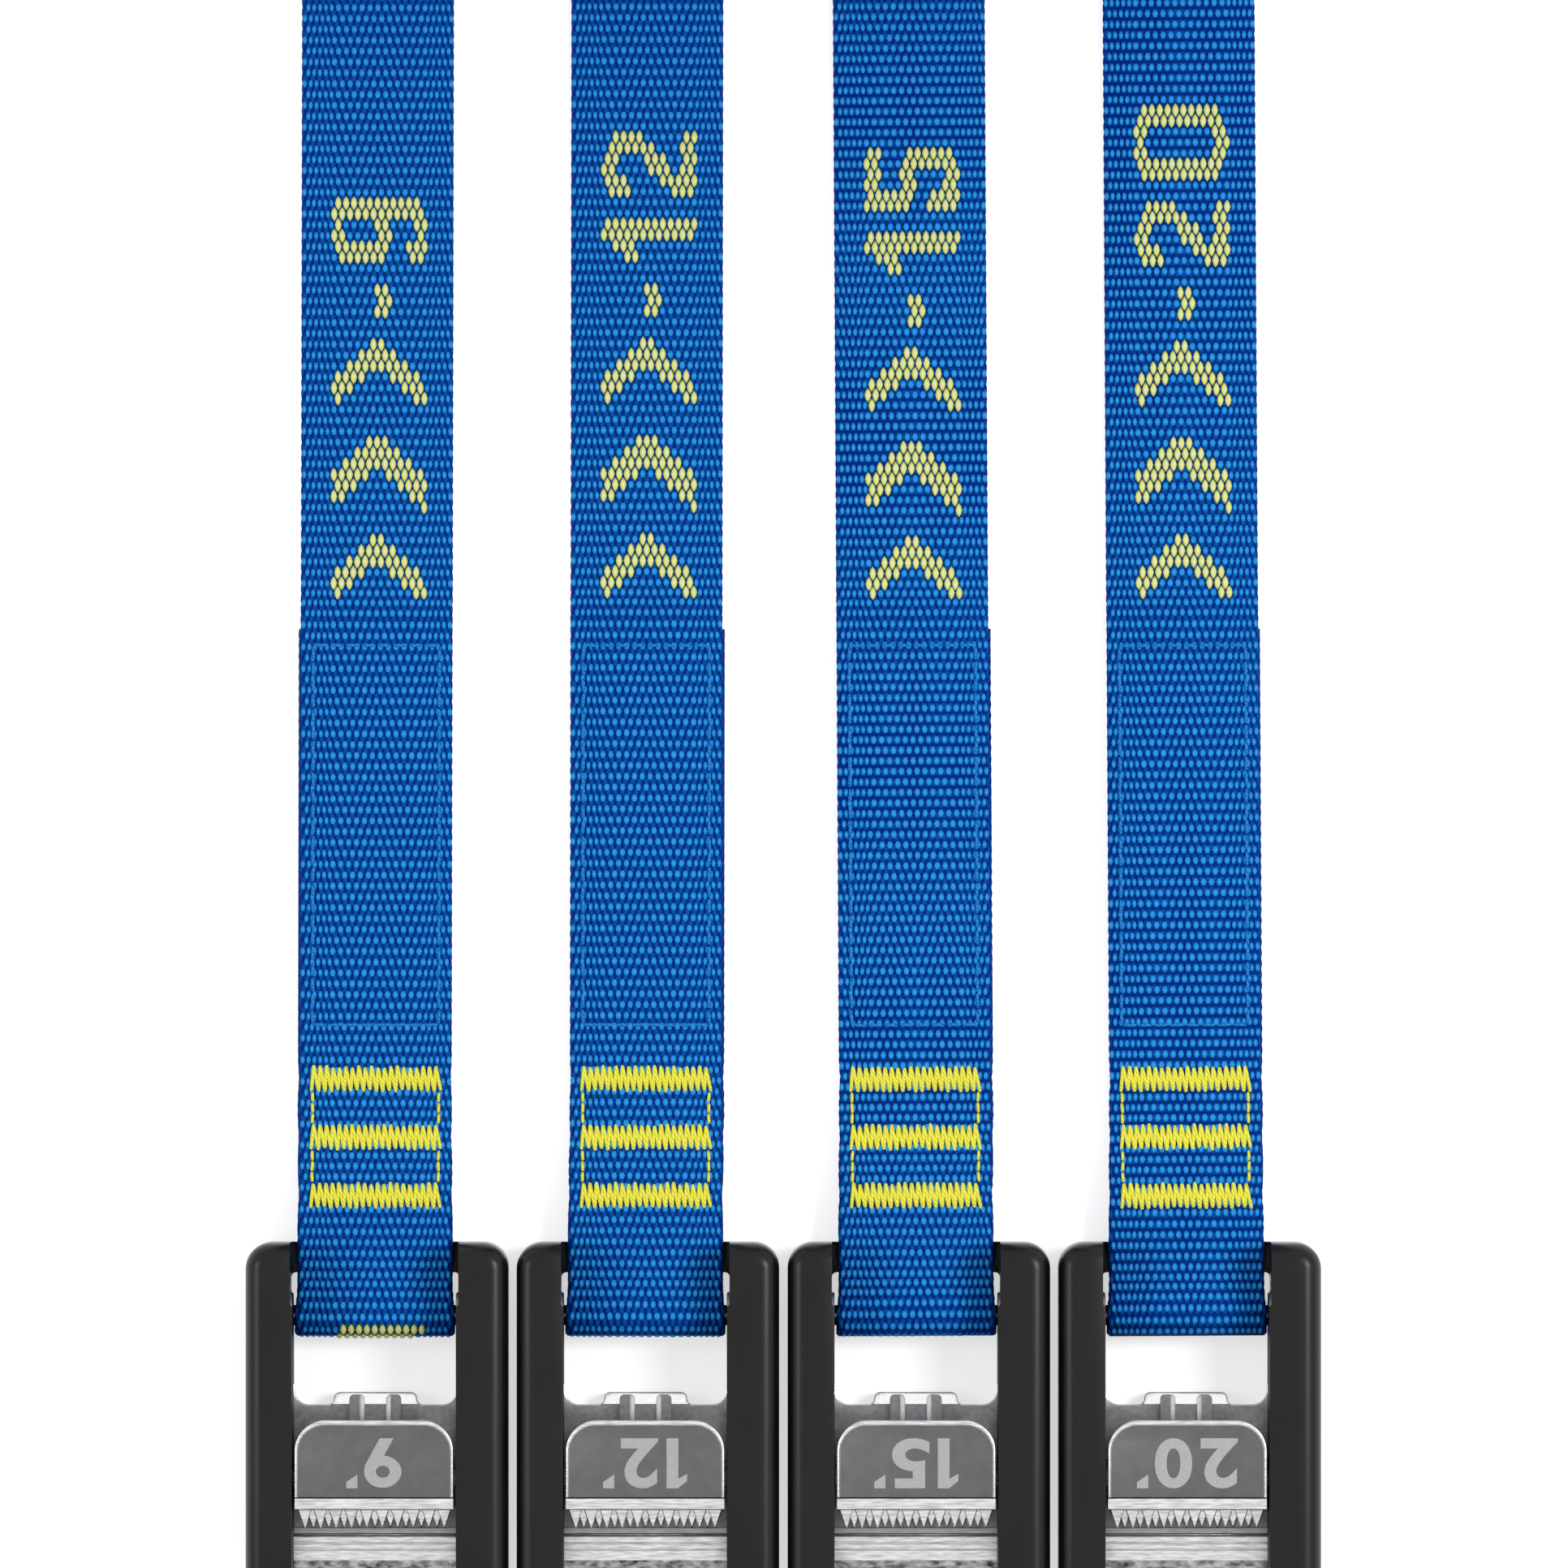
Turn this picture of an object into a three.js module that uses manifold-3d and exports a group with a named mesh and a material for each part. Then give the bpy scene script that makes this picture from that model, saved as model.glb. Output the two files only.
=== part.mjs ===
// A set of four cam-buckle tie-down straps, lying side by side on a flat surface.
// Millimetres, +Z up. Every strap runs along +Y, from its buckle to its rolled-up free length.
// Inside one strap, y = 0 is the rear face of the buckle's bumper and z = 0 the surface that it lies on.
// "Forward" is -Y, from the webbing towards the teeth of the buckle.
import * as THREE from 'three';
import { mergeVertices } from 'three/addons/utils/BufferGeometryUtils.js';
import Module from 'manifold-3d';

// ---- The set ----
const FOOT = 304.8;
const STRAPS = [
  { feet: 9, leanDegrees: 0.11 },
  { feet: 12, leanDegrees: 0.08 },
  { feet: 15, leanDegrees: -0.32 },
  { feet: 20, leanDegrees: -0.33 },
];
const BUCKLE_SPACE = 1.4; // between neighbouring bumpers
const GAP = 0.3; // between pieces that touch or are cut to each other

// ---- Webbing ----
const WEBBING_WIDTH = 25.4;
const WEBBING_THICKNESS = 1.5;
const FLEX_Y = 3; // where the webbing bends when the buckle is lifted
const LANDING_Y = 24; // where the webbing has come down onto the surface
const SEWN_END_Y = 102; // end of the layer that is sewn back under the strap
const STEP_DOWN = 7; // length in which the strap drops off the end of that layer
const ROLL_NEAR_Y = 217; // nearest point of every roll
const ROLL_EYE_RADIUS = 8;
const ROLL_LOOSENESS = 0.06; // between one turn and the next
const TIE_WIDTH = 8;
const TIE_THICKNESS = 1.2;
const BARTACK_LENGTH = 21.4; // across the webbing
const BARTACK_WIDTH = 4.4;
const BARTACK_HEIGHT = 0.5;
const FIRST_BARTACK_Y = 7.7;
const BARTACK_PITCH = 9.7;
const BARTACK_COUNT = 3;

// ---- Bumper: the rubber ring around the buckle ----
const BUMPER_LENGTH = 61;
const BUMPER_HEIGHT = 17;
const BUMPER_LEFT_WALL = 7.8;
const BUMPER_RIGHT_WALL = 8.7;
const BUMPER_RIM = 5.1; // rear and front
const BUMPER_CORNER_RADIUS = 5.4;
const BUMPER_EDGE_INSET = 1.6;
const BUMPER_EDGE_DEPTH = 2.8;
const BUMPER_LIP = 2.2; // over and under the side plates of the frame
const SADDLE_HEIGHT = 3.6; // rim under the webbing
const SADDLE_CHAMFER = 0.9;

// ---- Frame: one zinc casting ----
const WEBBING_SIDE_ROOM = 0.85;
const SIDE_PLATE = 2.2;
const SIDE_PLATE_RADIUS = 4;
const BAR_FROM_REAR = 12.2;
const BAR_RADIUS = 1.7;
const BAR_HEIGHT = 5.6; // of its centre
const PLATE_MARGIN = 3.9; // side plate behind the bar's centre
const BASE_FROM_REAR = 27.2;
const BASE_BOTTOM = 1;
const BASE_THICKNESS = 3.2;
const BASE_FILLET = 2.4; // where the base's rear edge meets the side plates
const TAB_REACH = 2.1; // how far the tab stands behind the base's rear edge
const TAB_WIDTH = 16;
const RIB_WIDTH = 2.5;
const RIB_SPACING = 6.1;
const RIB_HEIGHT = 1.2;
const RIB_LENGTH = 8;
const RIB_SETBACK = 0.4; // from the tab's edge
const ANVIL_RISE = 0.4; // of the clamping face above the base
const LIP_RISE = 1.1; // of the front lip above the base
const LIP_LENGTH = 5.7;
const LIP_NOSE = 1.9;

// ---- Cam lever and its pin ----
const PIVOT_FROM_REAR = 39;
const PIVOT_HEIGHT = 10;
const PIN_RADIUS = 1.6;
const HUB_RADIUS = 3.6;
const LEVER_SIDE_GAP = 0.4;
const LEVER_REACH = 9.6; // thumb plate behind the pivot
const LEVER_CORNER_RADIUS = 5;
const PLATE_TOP = 7.2; // above the pivot
const PLATE_THICKNESS = 2;
const PLATE_FRONT = 3.3; // ahead of the pivot
const FACE_RECESS = 0.4;
const FACE_MARGIN = 0.8;
const STRIP_DROP = 1;
const STRIP_FRONT = 5.3;
const TOOTH_PITCH = 2.58;
const TOOTH_COUNT = 10;
const TOOTH_TIP = 8.5; // ahead of the pivot
const TOOTH_GAP_TO_ANVIL = 0.4;
const TOOTH_ROW_HEIGHT = 3.3;
const TOOTH_ROW_SPACING = 4;

// ---- Torsion spring on the pin ----
const WIRE_RADIUS = 0.45;
const SPRING_TURNS = 4;
const SPRING_TURN_PITCH = 1.25;
const SPRING_POCKET_ROOM = 1;
const SPRING_LEG_SLOPE = 25; // degrees
const SPRING_LEG_ROOM = 0.05; // under the thumb plate

// ---- Sizes that follow from the ones above ----
const halfOpening = WEBBING_WIDTH / 2 + WEBBING_SIDE_ROOM;
const strapPitch = 2 * halfOpening + BUMPER_LEFT_WALL + BUMPER_RIGHT_WALL + BUCKLE_SPACE;
const rollPitch = WEBBING_THICKNESS + ROLL_LOOSENESS;
const barY = -BAR_FROM_REAR;
const pivotY = -PIVOT_FROM_REAR;
const frontRimY = -(BUMPER_LENGTH - BUMPER_RIM);
const baseTop = BASE_BOTTOM + BASE_THICKNESS;
const anvilTop = baseTop + ANVIL_RISE;
const plateRearY = barY + PLATE_MARGIN;
const plateFrontY = frontRimY + 1;
const halfLever = halfOpening - LEVER_SIDE_GAP;
const springRadius = PIN_RADIUS + GAP + WIRE_RADIUS;
const springLength = (SPRING_TURNS + 1) * SPRING_TURN_PITCH;
const tabEdgeY = -(BASE_FROM_REAR - TAB_REACH);

// Heights of the webbing's middle surface, lower and upper layer
const lowerOnSaddle = SADDLE_HEIGHT + GAP + WEBBING_THICKNESS / 2;
const layerStep = WEBBING_THICKNESS + GAP;
const lowerLaid = WEBBING_THICKNESS / 2;

const ROUND = 16; // segments in a full turn of a pin or a bore
const ROLL_FACETS = 40;
const CORNER = 4; // segments in a rounded corner

const wasm = await Module();
wasm.setup();

// ---- Materials ----
const finishes = {
  webbing: { color: 0x0f5fae, roughness: 0.75, metalness: 0 },
  thread: { color: 0xf2e94a, roughness: 0.6, metalness: 0 },
  rubber: { color: 0x343230, roughness: 0.6, metalness: 0 },
  zinc: { color: 0xb4b5b7, roughness: 0.38, metalness: 1 },
  lever: { color: 0xa2a3a5, roughness: 0.4, metalness: 1 },
  steel: { color: 0xc8cacc, roughness: 0.25, metalness: 1 },
  tie: { color: 0x1b1c1e, roughness: 0.85, metalness: 0 },
};

// ---- Small helpers ----
function toSolid(geometry) {
  const bare = geometry.clone();
  bare.deleteAttribute('normal');
  bare.deleteAttribute('uv');
  const merged = mergeVertices(bare, 1e-4);
  return new wasm.Manifold(new wasm.Mesh({
    numProp: 3,
    vertProperties: Float32Array.from(merged.attributes.position.array),
    triVerts: Uint32Array.from(merged.index.array),
  }));
}

function toGeometry(solid) {
  const { vertProperties, triVerts } = solid.getMesh();
  const geometry = new THREE.BufferGeometry();
  geometry.setAttribute('position', new THREE.BufferAttribute(vertProperties, 3));
  geometry.setIndex(new THREE.BufferAttribute(triVerts, 1));
  return geometry;
}

function shapeOf(points) {
  return new THREE.Shape(points.map(([a, b]) => new THREE.Vector2(a, b)));
}

// A plan outline (x, y) pushed up from one height to another
function standing(shape, bottom, top, curveSegments = CORNER) {
  const depth = top - bottom;
  return new THREE.ExtrudeGeometry(shape, { depth, bevelEnabled: false, curveSegments })
    .translate(0, 0, bottom);
}

// A side outline (y, z) pushed across the strap from one x to another
function across(shape, left, right, curveSegments = CORNER) {
  const turn = new THREE.Matrix4().makeBasis(
    new THREE.Vector3(0, 1, 0),
    new THREE.Vector3(0, 0, 1),
    new THREE.Vector3(1, 0, 0),
  );
  const depth = right - left;
  return new THREE.ExtrudeGeometry(shape, { depth, bevelEnabled: false, curveSegments })
    .applyMatrix4(turn)
    .translate(left, 0, 0);
}

function block(left, right, front, rear, bottom, top) {
  return new THREE.BoxGeometry(right - left, rear - front, top - bottom)
    .translate((left + right) / 2, (front + rear) / 2, (bottom + top) / 2);
}

// A round bar along x
function rod(radius, left, right, y, z) {
  return new THREE.CylinderGeometry(radius, radius, right - left, ROUND)
    .rotateZ(Math.PI / 2)
    .translate((left + right) / 2, y, z);
}

function roundedRectangle(left, right, low, high, radius) {
  const shape = new THREE.Shape();
  shape.moveTo(left + radius, low);
  shape.lineTo(right - radius, low);
  shape.absarc(right - radius, low + radius, radius, -Math.PI / 2, 0);
  shape.lineTo(right, high - radius);
  shape.absarc(right - radius, high - radius, radius, 0, Math.PI / 2);
  shape.lineTo(left + radius, high);
  shape.absarc(left + radius, high - radius, radius, Math.PI / 2, Math.PI);
  shape.lineTo(left, low + radius);
  shape.absarc(left + radius, low + radius, radius, Math.PI, Math.PI * 1.5);
  return shape;
}

// The outline of a strip that follows a centre line of [y, z] points
function stripOutline(line, thickness) {
  const half = thickness / 2;
  const upper = [];
  const lower = [];
  line.forEach(([y, z], i) => {
    const [y0, z0] = line[Math.max(i - 1, 0)];
    const [y1, z1] = line[Math.min(i + 1, line.length - 1)];
    const length = Math.hypot(y1 - y0, z1 - z0);
    const ny = -(z1 - z0) / length;
    const nz = (y1 - y0) / length;
    upper.push([y + ny * half, z + nz * half]);
    lower.push([y - ny * half, z - nz * half]);
  });
  return shapeOf([...lower, ...upper.reverse()]);
}

function smooth(t) {
  const s = Math.min(Math.max(t, 0), 1);
  return s * s * (3 - 2 * s);
}

// ---- Webbing ----
// Height of a layer's middle surface behind the flex line: it slopes down from the saddle,
// and the upper layer then drops off the end of the lower one.
function layerHeight(y, level) {
  const landed = smooth((y - FLEX_Y) / (LANDING_Y - FLEX_Y));
  const onSaddle = lowerOnSaddle + level * layerStep;
  const laid = lowerLaid + level * layerStep;
  const dropped = smooth((y - SEWN_END_Y - GAP) / STEP_DOWN);
  return onSaddle + (laid - onSaddle) * landed - dropped * level * layerStep;
}

function layerLine(from, to, level) {
  const steps = 12;
  const ys = [from];
  for (let i = 1; i < steps; i += 1) {
    ys.push(FLEX_Y + (LANDING_Y - FLEX_Y) * i / steps);
  }
  ys.push(LANDING_Y, SEWN_END_Y);
  for (let i = 0; i <= steps; i += 1) {
    ys.push(SEWN_END_Y + GAP + STEP_DOWN * i / steps);
  }
  const inside = ys.filter((y) => y > from && y < to);
  return [from, ...inside, to].map((y) => [y, layerHeight(y, level)]);
}

function layer(from, to, level) {
  const line = layerLine(from, to, level);
  return across(stripOutline(line, WEBBING_THICKNESS), -WEBBING_WIDTH / 2, WEBBING_WIDTH / 2);
}

// The webbing's loop: in over the saddle, round the front of the bar and back out above itself
function webbingLoop() {
  const wrap = BAR_RADIUS + GAP + WEBBING_THICKNESS / 2;
  const start = FLEX_Y - GAP / 2;
  const inner = -BUMPER_RIM + SADDLE_CHAMFER;
  const bend = (barY - inner) / 2;
  const path = new THREE.Path();
  path.moveTo(start, lowerOnSaddle);
  path.lineTo(inner, lowerOnSaddle);
  path.bezierCurveTo(
    inner + bend, lowerOnSaddle,
    barY - bend, BAR_HEIGHT - wrap,
    barY, BAR_HEIGHT - wrap,
  );
  path.absarc(barY, BAR_HEIGHT, wrap, Math.PI * 1.5, Math.PI / 2, true);
  path.bezierCurveTo(
    barY - bend, BAR_HEIGHT + wrap,
    inner + bend, lowerOnSaddle + layerStep,
    inner, lowerOnSaddle + layerStep,
  );
  path.lineTo(start, lowerOnSaddle + layerStep);
  const line = path.getPoints(8).map((p) => [p.x, p.y]);
  const distinct = line.filter(([y, z], i) => i === 0
    || Math.hypot(y - line[i - 1][0], z - line[i - 1][1]) > 1e-6);
  return across(stripOutline(distinct, WEBBING_THICKNESS), -WEBBING_WIDTH / 2, WEBBING_WIDTH / 2);
}

// Outer radius of the roll that takes up what the laid stretch leaves over
function rollRadius(feet) {
  const laidLength = BAR_FROM_REAR + ROLL_NEAR_Y;
  const rolled = (length, radius) => length - laidLength - radius;
  let radius = 0;
  for (let i = 0; i < 20; i += 1) {
    const length = rolled(feet * FOOT, radius);
    radius = Math.sqrt(ROLL_EYE_RADIUS ** 2 + length * rollPitch / Math.PI);
  }
  return radius;
}

// Where the laid stretch ends, clear of the round underside of the roll
function laidEnd(radius) {
  const height = WEBBING_THICKNESS + GAP;
  return ROLL_NEAR_Y + radius - Math.sqrt(radius ** 2 - (radius - height) ** 2);
}

function roll(radius) {
  const half = WEBBING_WIDTH / 2;
  const profile = [
    [ROLL_EYE_RADIUS, -half], [radius, -half], [radius, half], [ROLL_EYE_RADIUS, half],
    [ROLL_EYE_RADIUS, -half],
  ];
  return new THREE.LatheGeometry(profile.map(([r, h]) => new THREE.Vector2(r, h)), ROLL_FACETS)
    .rotateZ(Math.PI / 2)
    .translate(0, ROLL_NEAR_Y + radius, radius);
}

// The tie goes through the eye of the roll and round all its turns
function tie(radius) {
  const half = TIE_WIDTH / 2;
  const low = Math.sqrt(ROLL_EYE_RADIUS ** 2 - half ** 2) - GAP;
  const high = radius + GAP;
  const side = WEBBING_WIDTH / 2 + GAP;
  const t = TIE_THICKNESS;
  const ring = roundedRectangle(-side - t, side + t, low - t, high + t, 2 * t);
  ring.holes.push(roundedRectangle(-side, side, low, high, t / 2));
  return new THREE.ExtrudeGeometry(ring, { depth: TIE_WIDTH, bevelEnabled: false, curveSegments: 3 })
    .rotateX(Math.PI / 2)
    .translate(0, ROLL_NEAR_Y + radius + half, radius);
}

function bartack(index) {
  const middle = FIRST_BARTACK_Y + index * BARTACK_PITCH;
  const line = layerLine(middle - BARTACK_WIDTH / 2, middle + BARTACK_WIDTH / 2, 1);
  const lift = WEBBING_THICKNESS / 2 + BARTACK_HEIGHT / 2 + GAP / 3;
  const lifted = line.map(([y, z]) => [y, z + lift]);
  return across(stripOutline(lifted, BARTACK_HEIGHT), -BARTACK_LENGTH / 2, BARTACK_LENGTH / 2);
}

// ---- Bumper ----
function bumper() {
  const left = -halfOpening - BUMPER_LEFT_WALL;
  const right = halfOpening + BUMPER_RIGHT_WALL;
  const inset = BUMPER_EDGE_INSET;
  const outline = roundedRectangle(left + inset, right - inset, -BUMPER_LENGTH + inset, -inset,
    BUMPER_CORNER_RADIUS - inset);
  const outside = new THREE.ExtrudeGeometry(outline, {
    depth: BUMPER_HEIGHT - 2 * BUMPER_EDGE_DEPTH,
    bevelThickness: BUMPER_EDGE_DEPTH,
    bevelSize: inset,
    bevelSegments: 2,
    curveSegments: CORNER,
  }).translate(0, 0, BUMPER_EDGE_DEPTH);

  const lipX = halfOpening + LEVER_SIDE_GAP;
  const window = roundedRectangle(-lipX, lipX, frontRimY, -BUMPER_RIM, 1.2);
  const pocketX = halfOpening + SIDE_PLATE + GAP;
  const pocket = block(-pocketX, pocketX, plateFrontY - GAP, plateRearY + GAP,
    BUMPER_LIP, BUMPER_HEIGHT - BUMPER_LIP);
  return toGeometry(toSolid(outside)
    .subtract(toSolid(standing(window, -1, BUMPER_HEIGHT + 1)))
    .subtract(toSolid(pocket))
    .subtract(toSolid(saddleCut(0, -BUMPER_RIM, lipX)))
    .subtract(toSolid(saddleCut(frontRimY, -BUMPER_LENGTH, lipX))));
}

// The notch in a rim where webbing crosses it, with its two bottom edges eased
function saddleCut(rear, front, halfWidth) {
  const c = SADDLE_CHAMFER;
  const over = 2;
  const outline = shapeOf([
    [front - over, SADDLE_HEIGHT - c - over],
    [front + c, SADDLE_HEIGHT],
    [rear - c, SADDLE_HEIGHT],
    [rear + over, SADDLE_HEIGHT - c - over],
    [rear + over, BUMPER_HEIGHT + 1],
    [front - over, BUMPER_HEIGHT + 1],
  ]);
  return across(outline, -halfWidth, halfWidth);
}

// ---- Frame ----
// Plan of the base: a rear edge with a tab, joined to the side plates by round fillets
function basePlan() {
  const rear = -BASE_FROM_REAR;
  const x = halfOpening + SIDE_PLATE / 2;
  const tab = TAB_WIDTH / 2;
  const s = TAB_REACH;
  const f = BASE_FILLET;
  const shape = new THREE.Shape();
  shape.moveTo(-x, plateFrontY);
  shape.lineTo(x, plateFrontY);
  shape.lineTo(x, rear + f);
  shape.lineTo(halfOpening, rear + f);
  shape.absarc(halfOpening - f, rear + f, f, 0, -Math.PI / 2, true);
  shape.lineTo(tab - s / 2, rear);
  shape.bezierCurveTo(tab - s, rear, tab - s, rear + s, tab - 2 * s, rear + s);
  shape.lineTo(-tab + 2 * s, rear + s);
  shape.bezierCurveTo(-tab + s, rear + s, -tab + s, rear, -tab + s / 2, rear);
  shape.lineTo(-halfOpening + f, rear);
  shape.absarc(-halfOpening + f, rear + f, f, -Math.PI / 2, -Math.PI, true);
  shape.lineTo(-x, rear + f);
  return shape;
}

// Side outline of the clamping face and the lip that the webbing leaves over
function anvilOutline() {
  const lipRear = plateFrontY + LIP_LENGTH;
  const faceRear = pivotY - STRIP_FRONT;
  const lipTop = baseTop + LIP_RISE;
  return shapeOf([
    [faceRear + 1, BASE_BOTTOM + 1],
    [faceRear + 1, baseTop],
    [faceRear, anvilTop],
    [lipRear + 0.4, anvilTop],
    [lipRear, lipTop],
    [plateFrontY + LIP_NOSE, lipTop],
    [plateFrontY + LIP_NOSE / 3, lipTop - LIP_RISE],
    [plateFrontY, BASE_BOTTOM + 1],
  ]);
}

function rib(x) {
  const rear = tabEdgeY - RIB_SETBACK;
  const outline = roundedRectangle(x - RIB_WIDTH / 2, x + RIB_WIDTH / 2, rear - RIB_LENGTH, rear, 0.8);
  return standing(outline, baseTop - 1, baseTop + RIB_HEIGHT, 3);
}

function frame() {
  const inner = halfOpening;
  const outer = halfOpening + SIDE_PLATE;
  const side = roundedRectangle(plateFrontY, plateRearY, BUMPER_LIP + GAP,
    BUMPER_HEIGHT - BUMPER_LIP - GAP, SIDE_PLATE_RADIUS);
  const middle = (inner + outer) / 2;
  const base = toSolid(standing(basePlan(), BASE_BOTTOM, baseTop))
    .add(toSolid(across(anvilOutline(), -middle, middle)))
    .add(toSolid(rib(-RIB_SPACING / 2)))
    .add(toSolid(rib(RIB_SPACING / 2)))
    .intersect(toSolid(baseLimits()));
  return toGeometry(base
    .add(toSolid(across(side, inner, outer)))
    .add(toSolid(across(side, -outer, -inner)))
    .add(toSolid(rod(BAR_RADIUS, -middle, middle, barY, BAR_HEIGHT)))
    .subtract(toSolid(rod(PIN_RADIUS + GAP, -outer - 1, outer + 1, pivotY, PIVOT_HEIGHT))));
}

// The base keeps clear of the bumper's lower lips: below the side plates it is only as wide
// as the opening
function baseLimits() {
  const lipTop = BUMPER_LIP + GAP;
  const outer = halfOpening + SIDE_PLATE;
  return shapeAlongY([
    [-halfOpening, 0], [halfOpening, 0], [halfOpening, lipTop], [outer, lipTop],
    [outer, BUMPER_HEIGHT], [-outer, BUMPER_HEIGHT], [-outer, lipTop], [-halfOpening, lipTop],
  ]);
}

// An (x, z) outline pushed along the whole length of the buckle
function shapeAlongY(points) {
  return new THREE.ExtrudeGeometry(shapeOf(points), { depth: BUMPER_LENGTH, bevelEnabled: false })
    .rotateX(Math.PI / 2);
}

// ---- Cam lever ----
// Side outline about the pivot: thumb plate to the rear, hub in the middle, nose to the front
function leverOutline() {
  const nose = STRIP_FRONT;
  const bottom = anvilTop + TOOTH_GAP_TO_ANVIL - PIVOT_HEIGHT;
  const under = PLATE_TOP - PLATE_THICKNESS;
  const shape = new THREE.Shape();
  const at = (forward, up) => [pivotY - forward, PIVOT_HEIGHT + up];
  shape.moveTo(...at(-LEVER_REACH, PLATE_TOP));
  shape.lineTo(...at(-LEVER_REACH, under + 0.3));
  shape.lineTo(...at(-LEVER_REACH + 0.3, under));
  shape.lineTo(...at(-HUB_RADIUS, under));
  shape.lineTo(...at(-HUB_RADIUS, 0));
  shape.absarc(pivotY, PIVOT_HEIGHT, HUB_RADIUS, 0, -Math.PI / 2, true);
  shape.lineTo(...at(nose - 1.6, bottom));
  shape.lineTo(...at(nose + 0.6, bottom));
  shape.lineTo(...at(nose + 1.3, 0));
  shape.lineTo(...at(nose, PLATE_TOP - STRIP_DROP - 0.5));
  shape.lineTo(...at(nose, PLATE_TOP - STRIP_DROP));
  shape.lineTo(...at(PLATE_FRONT, PLATE_TOP - STRIP_DROP));
  shape.lineTo(...at(PLATE_FRONT, PLATE_TOP));
  return shape;
}

// Plan of the lever, with the two round corners of its thumb plate
function leverPlan(margin) {
  const x = halfLever - margin;
  const rear = pivotY + LEVER_REACH - margin;
  const front = pivotY - TOOTH_TIP - 1;
  const r = LEVER_CORNER_RADIUS - margin;
  const shape = new THREE.Shape();
  shape.moveTo(-x, front);
  shape.lineTo(x, front);
  shape.lineTo(x, rear - r);
  shape.absarc(x - r, rear - r, r, 0, Math.PI / 2);
  shape.lineTo(-x + r, rear);
  shape.absarc(-x + r, rear - r, r, Math.PI / 2, Math.PI);
  return shape;
}

// One row of pointed teeth across the nose
function toothRow(bottom, offset) {
  const root = pivotY - STRIP_FRONT;
  const tip = pivotY - TOOTH_TIP;
  const half = TOOTH_PITCH / 2 - 0.05;
  let row = null;
  for (let i = 0; i < TOOTH_COUNT; i += 1) {
    const x = (i - (TOOTH_COUNT - 1) / 2 + offset) * TOOTH_PITCH;
    const plan = shapeOf([[x - half, root], [x, tip], [x + half, root]]);
    const tooth = toSolid(standing(plan, bottom, bottom + TOOTH_ROW_HEIGHT));
    row = row ? row.add(tooth) : tooth;
  }
  return row;
}

function lever() {
  const lowest = anvilTop + TOOTH_GAP_TO_ANVIL;
  const plateTop = PIVOT_HEIGHT + PLATE_TOP;
  const top = plateTop + 1;
  const recessFront = pivotY - PLATE_FRONT;
  const recess = toSolid(standing(leverPlan(FACE_MARGIN), plateTop - FACE_RECESS, top))
    .intersect(toSolid(block(-halfLever, halfLever, recessFront + FACE_MARGIN / 2, 0, 0, top + 1)));
  const coil = springRadius + WIRE_RADIUS + GAP;
  const pocketX = springLength / 2 + SPRING_POCKET_ROOM;
  const pocket = block(-pocketX, pocketX, pivotY - coil, pivotY + LEVER_REACH + 1, 0,
    PIVOT_HEIGHT + coil);
  const legSlot = block(-pocketX, pocketX, pivotY - 1, pivotY + LEVER_REACH + 1, 0,
    plateTop - PLATE_THICKNESS);
  return toGeometry(toSolid(across(leverOutline(), -halfLever, halfLever, ROUND / 4))
    .add(toothRow(lowest + TOOTH_ROW_SPACING, 0))
    .add(toothRow(lowest, 0.5))
    .intersect(toSolid(standing(leverPlan(0), 0, top)))
    .subtract(recess)
    .subtract(toSolid(pocket))
    .subtract(toSolid(legSlot))
    .subtract(toSolid(rod(PIN_RADIUS + GAP, -halfLever - 1, halfLever + 1, pivotY, PIVOT_HEIGHT))));
}

function pin() {
  const end = halfOpening + SIDE_PLATE;
  return rod(PIN_RADIUS, -end, end, pivotY, PIVOT_HEIGHT);
}

// The spring's lower leg presses on the base, the upper one under the thumb plate
function spring() {
  const perTurn = 8;
  const half = SPRING_TURNS * SPRING_TURN_PITCH / 2;
  const slope = THREE.MathUtils.degToRad(SPRING_LEG_SLOPE);
  const start = -Math.PI / 2 - slope;
  const end = -(SPRING_TURNS + 1) * 2 * Math.PI + Math.PI / 2 + slope;
  // A point on the coil at an angle, moved on along the wire's direction there
  const place = (x, angle, along) => new THREE.Vector3(
    x,
    pivotY + springRadius * Math.cos(angle) + along * Math.sin(angle),
    PIVOT_HEIGHT + springRadius * Math.sin(angle) - along * Math.cos(angle),
  );
  const steps = Math.round((start - end) / (2 * Math.PI) * perTurn);
  // Each leg is as long as the room under the thumb plate allows
  const rise = PLATE_TOP - PLATE_THICKNESS - SPRING_LEG_ROOM;
  const leg = (rise - (springRadius + WIRE_RADIUS) * Math.cos(slope)) / Math.sin(slope);
  const points = [place(-half, start, -leg), place(-half, start, -leg / 2)];
  for (let i = 0; i <= steps; i += 1) {
    const t = i / steps;
    points.push(place(-half + 2 * half * t, start + (end - start) * t, 0));
  }
  points.push(place(half, end, leg / 2), place(half, end, leg));
  const wire = new THREE.Shape().absarc(0, 0, WIRE_RADIUS, 0, 2 * Math.PI);
  return new THREE.ExtrudeGeometry(wire, {
    steps: steps + 6,
    curveSegments: 3,
    extrudePath: new THREE.CatmullRomCurve3(points),
  });
}

// ---- Assembly ----
function piece(name, geometry, finish) {
  const mesh = new THREE.Mesh(geometry, new THREE.MeshStandardMaterial(finishes[finish]));
  mesh.name = name;
  return mesh;
}

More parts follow.
